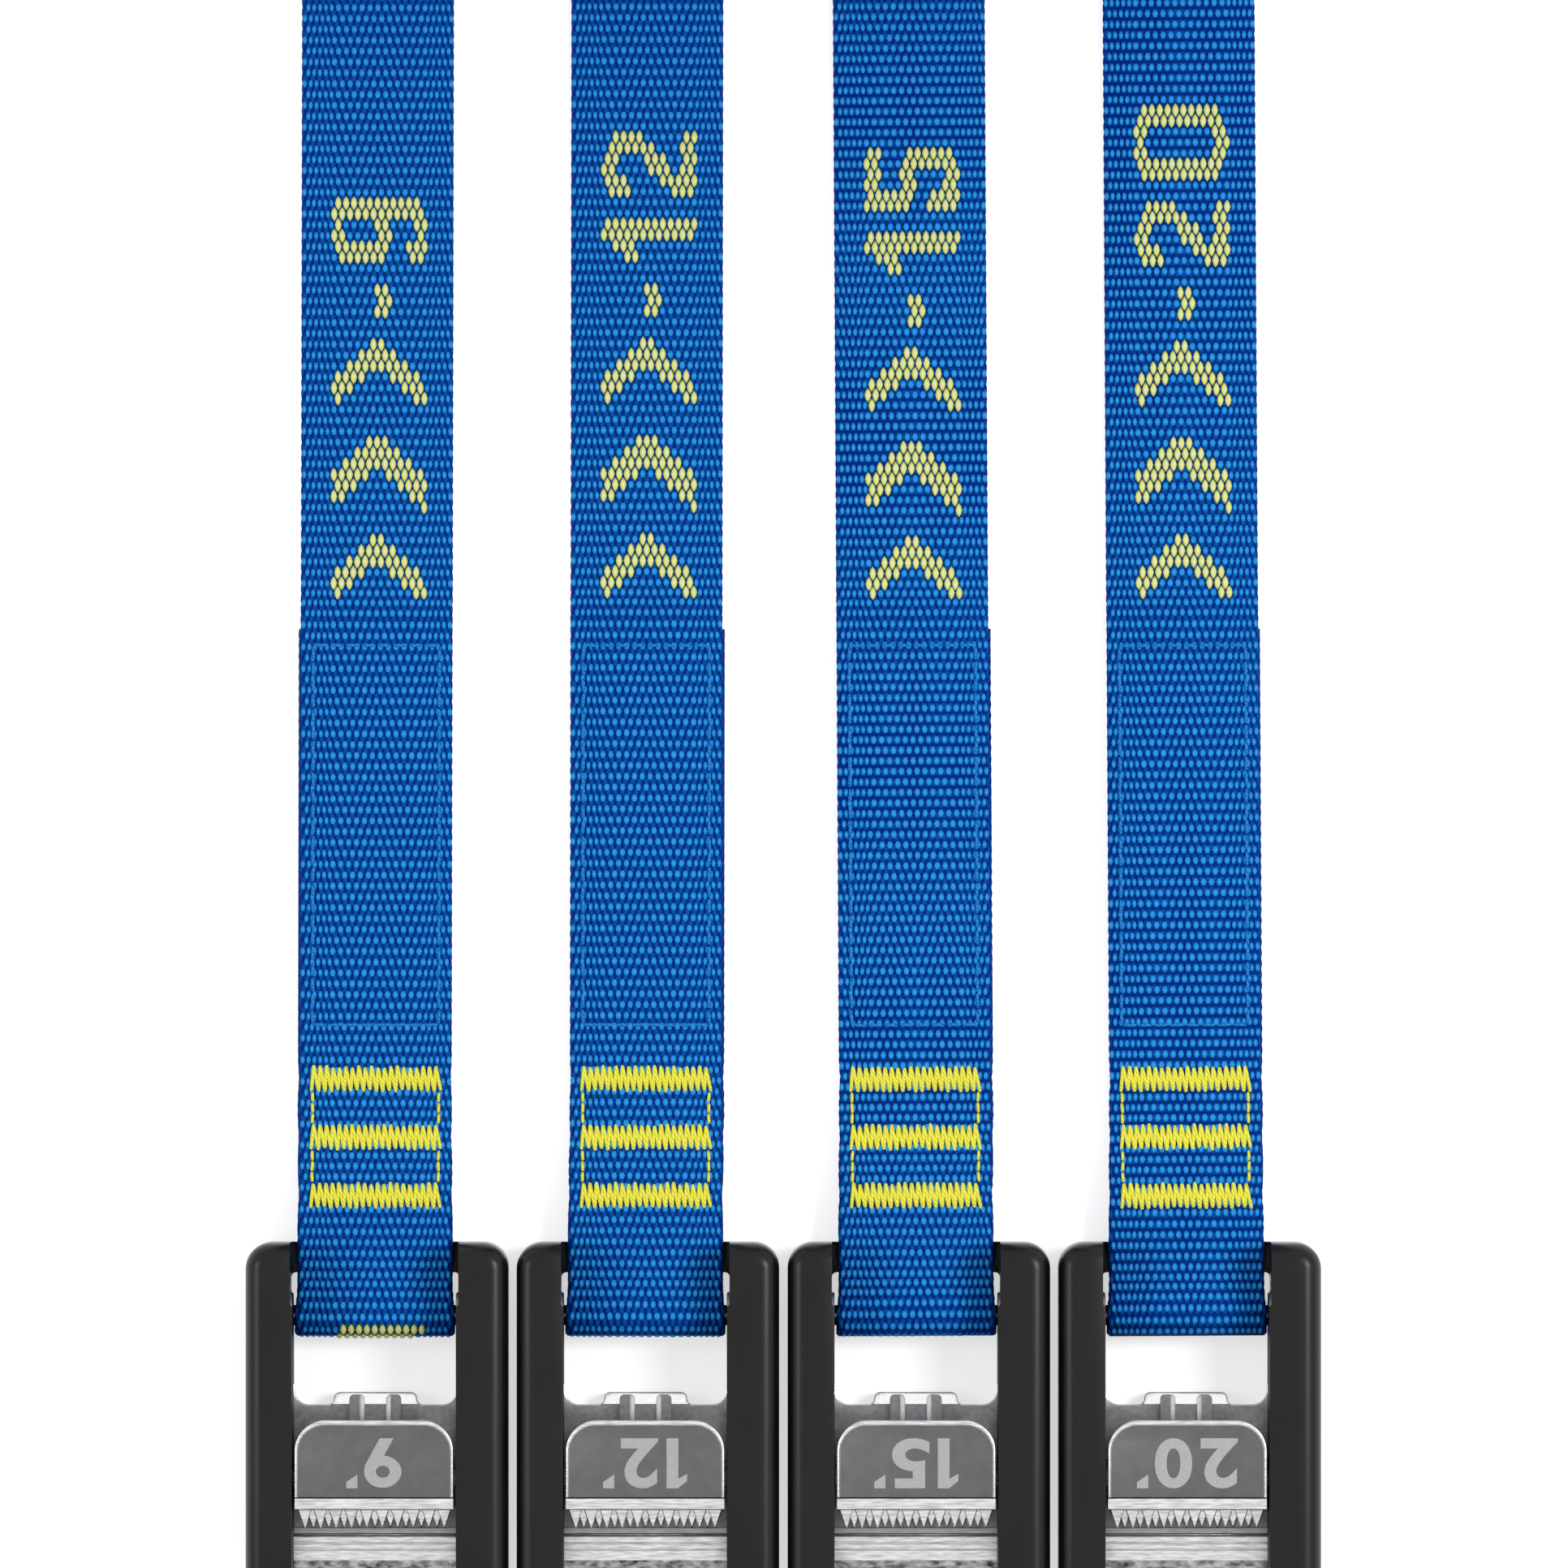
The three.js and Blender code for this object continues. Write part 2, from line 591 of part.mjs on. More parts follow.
function buildBuckle(tag) {
  const buckle = new THREE.Group();
  buckle.add(piece(`bumper_${tag}`, bumper(), 'rubber'));
  buckle.add(piece(`frame_${tag}`, frame(), 'zinc'));
  buckle.add(piece(`cam_lever_${tag}`, lever(), 'lever'));
  buckle.add(piece(`pivot_pin_${tag}`, pin(), 'steel'));
  buckle.add(piece(`torsion_spring_${tag}`, spring(), 'steel'));
  return buckle;
}

function buildWebbing(tag, radius) {
  const webbing = new THREE.Group();
  const start = FLEX_Y + GAP / 2;
  webbing.add(piece(`webbing_loop_${tag}`, webbingLoop(), 'webbing'));
  webbing.add(piece(`webbing_strap_${tag}`, layer(start, laidEnd(radius), 1), 'webbing'));
  webbing.add(piece(`webbing_sewn_tail_${tag}`, layer(start, SEWN_END_Y, 0), 'webbing'));
  webbing.add(piece(`webbing_roll_${tag}`, roll(radius), 'webbing'));
  webbing.add(piece(`roll_tie_${tag}`, tie(radius), 'tie'));
  for (let i = 0; i < BARTACK_COUNT; i += 1) {
    webbing.add(piece(`bartack_${i + 1}_${tag}`, bartack(i), 'thread'));
  }
  return webbing;
}

function buildStrap({ feet, leanDegrees }, index) {
  const strap = new THREE.Group();
  const tag = `${feet}ft`;
  const webbing = buildWebbing(tag, rollRadius(feet));
  webbing.rotation.z = -THREE.MathUtils.degToRad(leanDegrees);
  strap.add(buildBuckle(tag));
  strap.add(webbing);
  strap.position.x = (index - (STRAPS.length - 1) / 2) * strapPitch;
  return strap;
}

// The set stands with the middle of its box's underside at the origin
function buildSet() {
  const set = new THREE.Group();
  STRAPS.forEach((strap, index) => set.add(buildStrap(strap, index)));
  set.updateMatrixWorld(true);
  const box = new THREE.Box3().setFromObject(set, true);
  const middle = box.getCenter(new THREE.Vector3());
  set.position.set(-middle.x, -middle.y, -box.min.z);
  return set;
}

export default buildSet();
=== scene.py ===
"""Four cam-buckle tie-down straps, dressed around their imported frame.

Every strap runs along +Y, from its buckle to its rolled-up free length. Pieces are modelled in
millimetres in one strap's own frame, where x = 0 is the middle of the buckle, y = 0 the rear face of
its bumper and z = 0 the surface that it lies on. "Forward" is -Y, towards the teeth. A finished piece
is then scaled to metres and set down at its strap's place, which is read from the frame.
"""

import sys
import logging
import math
import random
from dataclasses import dataclass, field
from enum import Enum
from typing import Callable, ClassVar, Iterator, Optional, Sequence

import bmesh
import bpy
from mathutils import Matrix, Vector


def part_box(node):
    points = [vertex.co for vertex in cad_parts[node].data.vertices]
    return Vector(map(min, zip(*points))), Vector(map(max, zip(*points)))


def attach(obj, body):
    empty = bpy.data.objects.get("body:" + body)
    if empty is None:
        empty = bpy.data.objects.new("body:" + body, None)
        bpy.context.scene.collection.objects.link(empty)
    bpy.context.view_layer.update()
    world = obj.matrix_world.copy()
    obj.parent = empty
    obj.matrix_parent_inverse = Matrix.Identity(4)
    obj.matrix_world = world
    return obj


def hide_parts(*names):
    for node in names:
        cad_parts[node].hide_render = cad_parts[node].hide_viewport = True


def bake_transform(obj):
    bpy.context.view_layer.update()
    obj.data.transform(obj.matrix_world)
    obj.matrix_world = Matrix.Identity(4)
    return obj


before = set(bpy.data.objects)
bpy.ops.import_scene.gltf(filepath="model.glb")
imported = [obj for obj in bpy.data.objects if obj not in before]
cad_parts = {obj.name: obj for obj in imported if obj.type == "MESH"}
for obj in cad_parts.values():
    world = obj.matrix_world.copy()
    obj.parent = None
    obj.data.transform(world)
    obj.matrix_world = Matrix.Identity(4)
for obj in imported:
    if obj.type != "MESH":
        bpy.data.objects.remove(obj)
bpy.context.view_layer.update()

LOG = logging.getLogger("straps")
MM = 0.001
WHITE = (1.0, 1.0, 1.0, 1.0)

Flat = tuple[float, float]
Point = tuple[float, float, float]
Test = Callable[[Vector, Vector], bool]


# ---- The shared sizes of the set, in millimetres -------------------------------------------------


@dataclass(frozen=True)
class WebbingSizes:
    """Flat woven webbing and the way it is sewn and wound."""

    half_width: float = 12.62
    half_thickness: float = 0.7
    edge: float = 0.4
    layer_step: float = 1.8
    laid_height: float = 0.75
    saddle_height: float = 4.65
    flex_y: float = 3.0
    landing_y: float = 24.0
    sewn_end_y: float = 102.0
    step_down: float = 7.0
    roll_near_y: float = 217.0
    eye_radius: float = 8.0
    turn_pitch: float = 1.56
    row_pitch: float = 1.81
    wide_pitch: float = 1.31
    narrow_pitch: float = 0.97
    wide_count: int = 12
    narrow_count: int = 5
    marks_y: float = 106.0


@dataclass(frozen=True)
class BuckleSizes:
    """The bumper, the casting inside it, the lever and its pin."""

    half_opening: float = 13.55
    side_plate: float = 2.2
    rim: float = 5.1
    lip: float = 2.2
    gap: float = 0.3
    saddle: float = 3.6
    bar_y: float = -12.2
    bar_z: float = 5.6
    bar_radius: float = 1.7
    base_y: float = -27.2
    base_low: float = 1.0
    base_top: float = 4.2
    tab_reach: float = 2.1
    anvil_top: float = 4.6
    front_lip_top: float = 5.3
    front_y: float = -54.9
    pivot_y: float = -39.0
    pivot_z: float = 10.0
    pin_radius: float = 1.6
    hub_radius: float = 3.6
    half_lever: float = 13.15
    plate_top: float = 17.2
    strip_front: float = 5.3
    tooth_tip: float = 8.5
    tooth_pitch: float = 2.58
    tooth_count: int = 10

    @property
    def outer(self) -> float:
        """Half the width over the side plates."""
        return self.half_opening + self.side_plate

    @property
    def nose_y(self) -> float:
        """Where the lever's strip ends and its teeth begin."""
        return self.pivot_y - self.strip_front

    @property
    def pivot(self) -> Flat:
        """The middle of the pin, as (y, z)."""
        return self.pivot_y, self.pivot_z


CLOTH = WebbingSizes()
METAL = BuckleSizes()
# For each length in feet: how close its rows lie, and how far its sewn tail has crept sideways
ROWS_AND_SHIFTS = {9: (1.81, -0.35), 12: (1.81, 0.4), 15: (1.75, 0.4), 20: (1.79, 0.3)}


@dataclass(frozen=True)
class Place:
    """Where one strap lies in the set."""

    tag: str
    feet: int
    x: float
    y: float
    turn: float
    roll_radius: float
    row_pitch: float
    tail_shift: float

    def matrix(self, leaned: bool) -> Matrix:
        """Gives the matrix from the strap's own millimetres to the set's metres.

        Args:
            leaned: True for the webbing and what is sewn to it, which lies slightly askew.
        """
        turned = Matrix.Rotation(self.turn if leaned else 0.0, 4, "Z")
        return Matrix.Translation((self.x, self.y, 0.0)) @ turned @ Matrix.Scale(MM, 4)

    def body(self, part: str) -> str:
        """Names the body of this strap that a part rides on: strap, buckle or cam."""
        return f"{part}_{self.tag}"

    @classmethod
    def read(cls, tag: str) -> "Place":
        """Works out a strap's place from its nodes.

        Args:
            tag: the strap's length as its nodes are tagged, such as 9ft.
        """
        metal_low, metal_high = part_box(f"frame_{tag}")
        bumper_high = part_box(f"bumper_{tag}")[1]
        roll_low, roll_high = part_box(f"webbing_roll_{tag}")
        x = (metal_low.x + metal_high.x) / 2
        across = (roll_low.x + roll_high.x) / 2 - x
        along = (roll_low.y + roll_high.y) / 2 - bumper_high.y
        radius = (roll_high.z - roll_low.z) / 2 / MM
        feet = int(tag[:-2])
        row_pitch, tail_shift = ROWS_AND_SHIFTS.get(feet, (CLOTH.row_pitch, 0.0))
        turn = -math.atan2(across, along)
        return cls(tag, feet, x, bumper_high.y, turn, radius, row_pitch, tail_shift)


class Slot(Enum):
    """The record's material slots."""

    WEBBING = "webbing"
    THREAD = "thread"
    RUBBER = "bumper_rubber"
    ZINC = "zinc_casting"
    LEVER = "lever_casting"
    PIN = "pin_steel"
    SPRING = "spring_steel"
    TIE = "tie"


# ---- Materials -----------------------------------------------------------------------------------


def to_linear(colour: str) -> tuple[float, float, float, float]:
    """Turns an sRGB hex colour into the linear values of a shader socket."""
    parts = [int(colour[i:i + 2], 16) / 255 for i in (1, 3, 5)]
    red, green, blue = [p / 12.92 if p <= 0.04045 else ((p + 0.055) / 1.055) ** 2.4 for p in parts]
    return red, green, blue, 1.0


def feed(tree: bpy.types.NodeTree, node: bpy.types.Node, inputs: dict) -> None:
    """Gives a node's inputs their values, or links them to other nodes' outputs."""
    for key, value in inputs.items():
        if isinstance(value, bpy.types.NodeSocket):
            tree.links.new(value, node.inputs[key])
        else:
            node.inputs[key].default_value = value


def add_node(
    tree: bpy.types.NodeTree, kind: str, inputs: Optional[dict] = None,
    to: Optional[bpy.types.NodeSocket] = None, stops: Sequence[tuple[float, str]] = (), **settings: object
) -> bpy.types.Node:
    """Adds a node to a material.

    Args:
        tree: the material's node tree.
        kind: the node's type.
        inputs: a value or another node's output for each input, by its name or number.
        to: the input that takes the node's first output.
        stops: the places and hex colours of a colour ramp.
        settings: the node's own properties.

    Returns:
        The new node.
    """
    node = tree.nodes.new(kind)
    for name, value in settings.items():
        setattr(node, name, value)
    feed(tree, node, inputs or {})
    if stops:
        elements = node.color_ramp.elements
        while len(elements) < len(stops):
            elements.new(1.0)
        for element, (position, colour) in zip(elements, stops):
            element.position = position
            element.color = to_linear(colour)
    if to is not None:
        tree.links.new(node.outputs[0], to)
    return node


class Finish:
    """A finish that makes its material once and hands it to every piece that wears it."""

    name: str
    made: ClassVar[dict[str, bpy.types.Material]] = {}

    def material(self) -> bpy.types.Material:
        """Gives the finish's material, making it the first time."""
        if self.name not in Finish.made:
            material = bpy.data.materials.new(self.name)
            material.use_nodes = True
            tree = material.node_tree
            self.dress(tree, tree.nodes["Principled BSDF"])
            Finish.made[self.name] = material
        return Finish.made[self.name]

    def dress(self, tree: bpy.types.NodeTree, surface: bpy.types.Node) -> None:
        """Adds the finish's own nodes before the surface shader."""
        raise NotImplementedError


@dataclass(frozen=True)
class WovenGround(Finish):
    """Polyester webbing between and under its floats: dyed blue, deepened by painted shade away from the
    crowns of the staggered weave, which is raised.

    The pattern follows the cloth's own UV map, which is in millimetres.
    """

    name: str = "woven_polyester_ground"
    deep: str = "#003088"
    light: str = "#0656b0"
    column: float = 1.15

    def dress(self, tree: bpy.types.NodeTree, surface: bpy.types.Node) -> None:
        """Draws staggered rows of crowned floats from two sine waves, with painted shade deepening the blue
        between them.
        """
        uv = add_node(tree, "ShaderNodeUVMap", uv_map="cloth")
        axes = add_node(tree, "ShaderNodeSeparateXYZ", {0: uv.outputs[0]})
        rows = add_node(
            tree, "ShaderNodeMath", {0: axes.outputs["Y"], 1: CLOTH.row_pitch}, operation="DIVIDE"
        )
        row = add_node(tree, "ShaderNodeMath", {0: rows.outputs[0]}, operation="FLOOR")
        odd = add_node(tree, "ShaderNodeMath", {0: row.outputs[0], 1: 1.0}, operation="PINGPONG")
        half = add_node(tree, "ShaderNodeMath", {0: odd.outputs[0], 1: 0.5}, operation="MULTIPLY")
        columns = add_node(
            tree, "ShaderNodeMath", {0: axes.outputs["X"], 1: self.column}, operation="DIVIDE"
        )
        shifted = add_node(
            tree, "ShaderNodeMath", {0: columns.outputs[0], 1: half.outputs[0]}, operation="ADD"
        )
        waves = []
        for turns in (shifted, rows):
            wave = add_node(tree, "ShaderNodeMath", {0: turns.outputs[0], 1: math.pi}, operation="MULTIPLY")
            for step in ("SINE", "ABSOLUTE"):
                wave = add_node(tree, "ShaderNodeMath", {0: wave.outputs[0]}, operation=step)
            waves.append(wave.outputs[0])
        crown = add_node(
            tree, "ShaderNodeMath", {0: waves[0], 1: waves[1]}, operation="MULTIPLY"
        ).outputs[0]
        # Painted shade: the deep stop darkens the blue away from each crown
        add_node(
            tree, "ShaderNodeValToRGB", {0: crown}, surface.inputs["Base Color"],
            stops=[(0.2, self.deep), (0.9, self.light)],
        )
        feed(tree, surface, {"Roughness": 0.62, "Specular IOR Level": 0.04})
        add_node(
            tree, "ShaderNodeBump", {"Height": crown, "Distance": 0.35 * MM},
            surface.inputs["Normal"],
        )


@dataclass(frozen=True)
class Floats(Finish):
    """Polyester floats: bundles of bright filaments, with painted shade on their rims where they meet the
    weave and a painted highlight on their crowns.
    """

    name: str
    rim: str
    middle: str
    crown: str

    def dress(self, tree: bpy.types.NodeTree, surface: bpy.types.Node) -> None:
        """Colours each float by how high it stands, from painted shade at its rim to a painted highlight on
        its crown, with a little change from thread to thread.
        """
        height = add_node(tree, "ShaderNodeAttribute", attribute_name="crown")
        uv = add_node(tree, "ShaderNodeUVMap", uv_map="cloth")
        # Filament bundles about 0.7 mm wide and 2 mm long
        stretched = add_node(tree, "ShaderNodeMapping", {0: uv.outputs[0], "Scale": (1.4, 0.5, 1.0)})
        noise = add_node(tree, "ShaderNodeTexNoise", {"Vector": stretched.outputs[0], "Scale": 1.0})
        uneven = add_node(tree, "ShaderNodeMapRange", {0: noise.outputs[0], 3: -0.16, 4: 0.16})
        level = add_node(
            tree, "ShaderNodeMath", {0: height.outputs["Fac"], 1: uneven.outputs[0]}, operation="ADD"
        )
        # The rim colour is painted shade and the crown colour a painted highlight, with the yarn's colour
        # between
        add_node(
            tree, "ShaderNodeValToRGB", {0: level.outputs[0]}, surface.inputs["Base Color"],
            stops=[(0.05, self.rim), (0.55, self.middle), (1.0, self.crown)],
        )
        feed(tree, surface, {"Roughness": 0.5, "Specular IOR Level": 0.06})
        fine = add_node(tree, "ShaderNodeMapping", {0: uv.outputs[0], "Scale": (9.0, 1.2, 1.0)})
        lines = add_node(tree, "ShaderNodeTexNoise", {"Vector": fine.outputs[0], "Scale": 1.0})
        add_node(
            tree, "ShaderNodeBump", {"Height": lines.outputs[0], "Distance": 0.05 * MM},
            surface.inputs["Normal"],
        )


@dataclass(frozen=True)
class BondedThread(Finish):
    """Twisted polyester sewing thread, with its plies showing as fine slanting ridges."""

    name: str
    shade: str
    light: str

    def dress(self, tree: bpy.types.NodeTree, surface: bpy.types.Node) -> None:
        """Winds slanting ridges 0.4 mm apart over the thread."""
        place = add_node(tree, "ShaderNodeTexCoord")
        ridges = add_node(
            tree, "ShaderNodeTexWave",
            {"Vector": place.outputs["Object"], "Scale": 800.0, "Distortion": 1.5},
            bands_direction="DIAGONAL",
        )
        add_node(
            tree, "ShaderNodeValToRGB", {0: ridges.outputs[1]}, surface.inputs["Base Color"],
            stops=[(0.0, self.shade), (0.6, self.light)],
        )
        feed(tree, surface, {"Roughness": 0.5, "Specular IOR Level": 0.1})
        add_node(
            tree, "ShaderNodeBump", {"Height": ridges.outputs[1], "Distance": 0.06 * MM},
            surface.inputs["Normal"],
        )


@dataclass(frozen=True)
class MouldedRubber(Finish):
    """Moulded thermoplastic rubber: near black and satin, with a fine spark-eroded grain."""

    name: str = "moulded_rubber"
    dark: str = "#0c0b0b"
    worn: str = "#151413"

    def dress(self, tree: bpy.types.NodeTree, surface: bpy.types.Node) -> None:
        """Mottles the colour slowly and raises a grain of 0.25 mm."""
        place = add_node(tree, "ShaderNodeTexCoord")
        cloud = add_node(
            tree, "ShaderNodeTexNoise", {"Vector": place.outputs["Object"], "Scale": 60.0, "Detail": 4.0}
        )
        add_node(
            tree, "ShaderNodeValToRGB", {0: cloud.outputs[0]}, surface.inputs["Base Color"],
            stops=[(0.3, self.dark), (0.75, self.worn)],
        )
        feed(tree, surface, {"Roughness": 0.3, "Specular IOR Level": 0.28})
        grain = add_node(
            tree, "ShaderNodeTexNoise", {"Vector": place.outputs["Object"], "Scale": 4000.0, "Detail": 1.0}
        )
        add_node(
            tree, "ShaderNodeBump", {"Height": grain.outputs[0], "Distance": 0.006 * MM},
            surface.inputs["Normal"],
        )


@dataclass(frozen=True)
class CastZinc(Finish):
    """Die-cast zinc: a mottled metal skin, coarse or fine by its grain, or ground bright."""

    name: str
    dark: str
    light: str
    roughness: float
    grain: float
    depth: float
    stretch: float = 1.0

    def dress(self, tree: bpy.types.NodeTree, surface: bpy.types.Node) -> None:
        """Mottles the metal by a grain that may be drawn out across the buckle."""
        place = add_node(tree, "ShaderNodeTexCoord")
        drawn = add_node(
            tree, "ShaderNodeMapping",
            {0: place.outputs["Object"], "Scale": (1 / self.stretch, 1.0, 1.0)},
        )
        noise = add_node(
            tree, "ShaderNodeTexNoise",
            {"Vector": drawn.outputs[0], "Scale": 1000 / self.grain, "Detail": 3.0},
        )
        add_node(
            tree, "ShaderNodeValToRGB", {0: noise.outputs[0]}, surface.inputs["Base Color"],
            stops=[(0.3, self.dark), (0.7, self.light)],
        )
        feed(tree, surface, {"Metallic": 1.0, "Roughness": self.roughness})
        add_node(
            tree, "ShaderNodeBump", {"Height": noise.outputs[0], "Distance": self.depth * MM},
            surface.inputs["Normal"],
        )


@dataclass(frozen=True)
class HookAndLoop(Finish):
    """Black hook-and-loop tape: a matt fuzzy pile with flecks of grey."""

    name: str = "hook_and_loop_tape"

    def dress(self, tree: bpy.types.NodeTree, surface: bpy.types.Node) -> None:
        """Speckles the tape at the scale of its loops, about 0.5 mm."""
        place = add_node(tree, "ShaderNodeTexCoord")
        loops = add_node(tree, "ShaderNodeTexVoronoi", {"Vector": place.outputs["Object"], "Scale": 2000.0})
        add_node(
            tree, "ShaderNodeValToRGB", {0: loops.outputs["Distance"]}, surface.inputs["Base Color"],
            stops=[(0.0, "#3a3a3d"), (0.7, "#0e0e10")],
        )
        feed(tree, surface, {"Roughness": 0.9, "Sheen Weight": 0.3})
        add_node(
            tree, "ShaderNodeBump", {"Height": loops.outputs["Distance"], "Distance": 0.25 * MM},
            surface.inputs["Normal"],
        )


GROUND = WovenGround()
# Float colours: painted shade at the rim, the yarn's colour in the middle and a painted highlight on the
# crown
BLUE_FLOATS = Floats("blue_polyester_floats", "#0042a4", "#0876ce", "#38a8f4")
YELLOW_FLOATS = Floats("yellow_polyester_floats", "#aebb1c", "#e0e46c", "#f4f6bc")
YELLOW_THREAD = BondedThread("yellow_bonded_thread", "#f2e22a", "#ffff68")
BLUE_THREAD = BondedThread("blue_bonded_thread", "#0c66bc", "#2f96e0")
RUBBER = MouldedRubber()
CAST_SKIN = CastZinc("zinc_cast_skin", "#78787a", "#8a8a8c", 0.4, 0.9, 0.012)
# Painted shade: near-black zinc for faces that lie in shadow, such as the channel under the teeth, groove
# walls, the teeth's flanks and the ribs' sides
PAINTED_SHADE_ZINC = CastZinc("zinc_painted_shade", "#161617", "#2a2a2c", 0.6, 0.6, 0.02)
# Painted highlight: near-white zinc on the tab's slope, the base's gentler rounded edges and the ribs'
# inward rounded edges, where the light falls
PAINTED_HIGHLIGHT_ZINC = CastZinc("zinc_painted_highlight", "#f2f2f2", "#ffffff", 0.22, 0.5, 0.002)
WORN_BAND = CastZinc("zinc_worn_band", "#8c8c8e", "#a6a6a8", 0.35, 0.35, 0.012, 8.0)
GROUND_METAL = CastZinc("zinc_ground_bright", "#b9b9bb", "#f0f0f0", 0.3, 0.35, 0.012, 8.0)
ROUGH_CAST = CastZinc("zinc_rough_cast", "#2c2c2e", "#c4c4c6", 0.4, 1.1, 0.25, 1.6)
LEVER_FACE = CastZinc("lever_blasted_face", "#656566", "#6c6c6d", 0.5, 2.5, 0.01)
LEVER_MARK = CastZinc("lever_mark_etched", "#a2a2a2", "#aaaaaa", 0.6, 0.5, 0.004)
PIN_STEEL = CastZinc("pin_steel_turned", "#a8a9ac", "#cfd0d2", 0.25, 0.3, 0.004, 0.2)
SPRING_STEEL = CastZinc("spring_wire", "#8f9092", "#c4c5c7", 0.25, 0.8, 0.004)
TAPE = HookAndLoop()


# ---- Bench work ----------------------------------------------------------------------------------


class Bench:
    """Modelling by hand tools: primitives, edit-mode operators and applied modifiers."""

    @staticmethod
    def take(piece: bpy.types.Object) -> None:
        """Selects one piece alone and makes it the active one."""
        bpy.ops.object.select_all(action="DESELECT")
        piece.select_set(True)
        bpy.context.view_layer.objects.active = piece

    @classmethod
    def block(cls, name: str, low: Point, high: Point) -> bpy.types.Object:
        """Adds a box between two corners."""
        bpy.ops.object.select_all(action="DESELECT")
        middle = (Vector(low) + Vector(high)) / 2
        size = Vector(high) - Vector(low)
        bpy.ops.mesh.primitive_cube_add(size=1.0, location=middle, scale=size)
        return cls.place_in_mesh(name)

    @classmethod
    def rod(
        cls, name: str, radius: float, start: Point, end: Point, sides: int = 32
    ) -> bpy.types.Object:
        """Adds a round bar from one point to another."""
        bpy.ops.object.select_all(action="DESELECT")
        line = Vector(end) - Vector(start)
        middle = (Vector(start) + Vector(end)) / 2
        turned = line.to_track_quat("Z", "Y").to_euler()
        bpy.ops.mesh.primitive_cylinder_add(
            vertices=sides, radius=radius, depth=line.length, location=middle, rotation=turned
        )
        return cls.place_in_mesh(name)

    @classmethod
    def slab(cls, name: str, half: float, low: Flat, high: Flat) -> bpy.types.Object:
        """Adds a box that reaches equally far to both sides, between two corners (y, z)."""
        return cls.block(name, (-half, *low), (half, *high))

    @classmethod
    def axle(cls, name: str, radius: float, half: float, place: Flat, sides: int = 32) -> bpy.types.Object:
        """Adds a round bar that lies across, equally far to both sides of a place (y, z)."""
        return cls.rod(name, radius, (-half, *place), (half, *place), sides)

    @staticmethod
    def place_in_mesh(name: str) -> bpy.types.Object:
        """Names the piece just added and moves its place into its mesh."""
        bpy.ops.object.transform_apply(location=True, rotation=True, scale=True)
        piece = bpy.context.object
        piece.name = name
        return piece

    @classmethod
    def pick_edges(cls, piece: bpy.types.Object, test: Test) -> None:
        """Opens a piece for editing with only the edges selected whose two ends pass the test."""
        cls.take(piece)
        bpy.ops.object.mode_set(mode="EDIT")
        bpy.ops.mesh.select_mode(type="EDGE")
        bpy.ops.mesh.select_all(action="DESELECT")
        mesh = bmesh.from_edit_mesh(piece.data)
        for edge in mesh.edges:
            if test(edge.verts[0].co, edge.verts[1].co):
                edge.select_set(True)
        bmesh.update_edit_mesh(piece.data)

    @classmethod
    def round_edges(
        cls, piece: bpy.types.Object, test: Test, width: float, segments: int = 4
    ) -> bpy.types.Object:
        """Rounds the edges whose two ends pass the test."""
        cls.pick_edges(piece, test)
        bpy.ops.mesh.bevel(offset=width, segments=segments, profile=0.5, affect="EDGES")
        bpy.ops.object.mode_set(mode="OBJECT")
        return piece

    @classmethod
    def boolean(cls, piece: bpy.types.Object, tool: bpy.types.Object, operation: str) -> bpy.types.Object:
        """Joins a tool to a piece or cuts it away, and uses the tool up."""
        cls.take(piece)
        modifier = piece.modifiers.new("shape", "BOOLEAN")
        modifier.operation = operation
        modifier.object = tool
        modifier.solver = "EXACT"
        bpy.ops.object.modifier_apply(modifier=modifier.name)
        bpy.data.objects.remove(tool)
        return piece

    @classmethod
    def cut(cls, piece: bpy.types.Object, tool: bpy.types.Object) -> bpy.types.Object:
        """Cuts a tool's shape out of a piece."""
        return cls.boolean(piece, tool, "DIFFERENCE")

    @classmethod
    def weld(cls, piece: bpy.types.Object, tool: bpy.types.Object) -> bpy.types.Object:
        """Joins a tool's shape to a piece as one solid."""
        return cls.boolean(piece, tool, "UNION")

    @classmethod
    def soften(
        cls, piece: bpy.types.Object, width: float, segments: int = 2, angle: float = 35.0
    ) -> bpy.types.Object:
        """Eases every edge that is sharper than an angle, and shades the piece smooth."""
        cls.take(piece)
        modifier = piece.modifiers.new("eased edges", "BEVEL")
        modifier.width = width
        modifier.segments = segments
        modifier.limit_method = "ANGLE"
        modifier.angle_limit = math.radians(angle)
        bpy.ops.object.modifier_apply(modifier=modifier.name)
        bpy.ops.object.shade_smooth_by_angle(angle=math.radians(angle))
        return piece

    @classmethod
    def join(cls, pieces: list[bpy.types.Object], name: str) -> bpy.types.Object:
        """Joins loose pieces into one object without cutting them to each other."""
        cls.take(pieces[0])
        for piece in pieces[1:]:
            piece.select_set(True)
        bpy.ops.object.join()
        pieces[0].name = name
        return pieces[0]

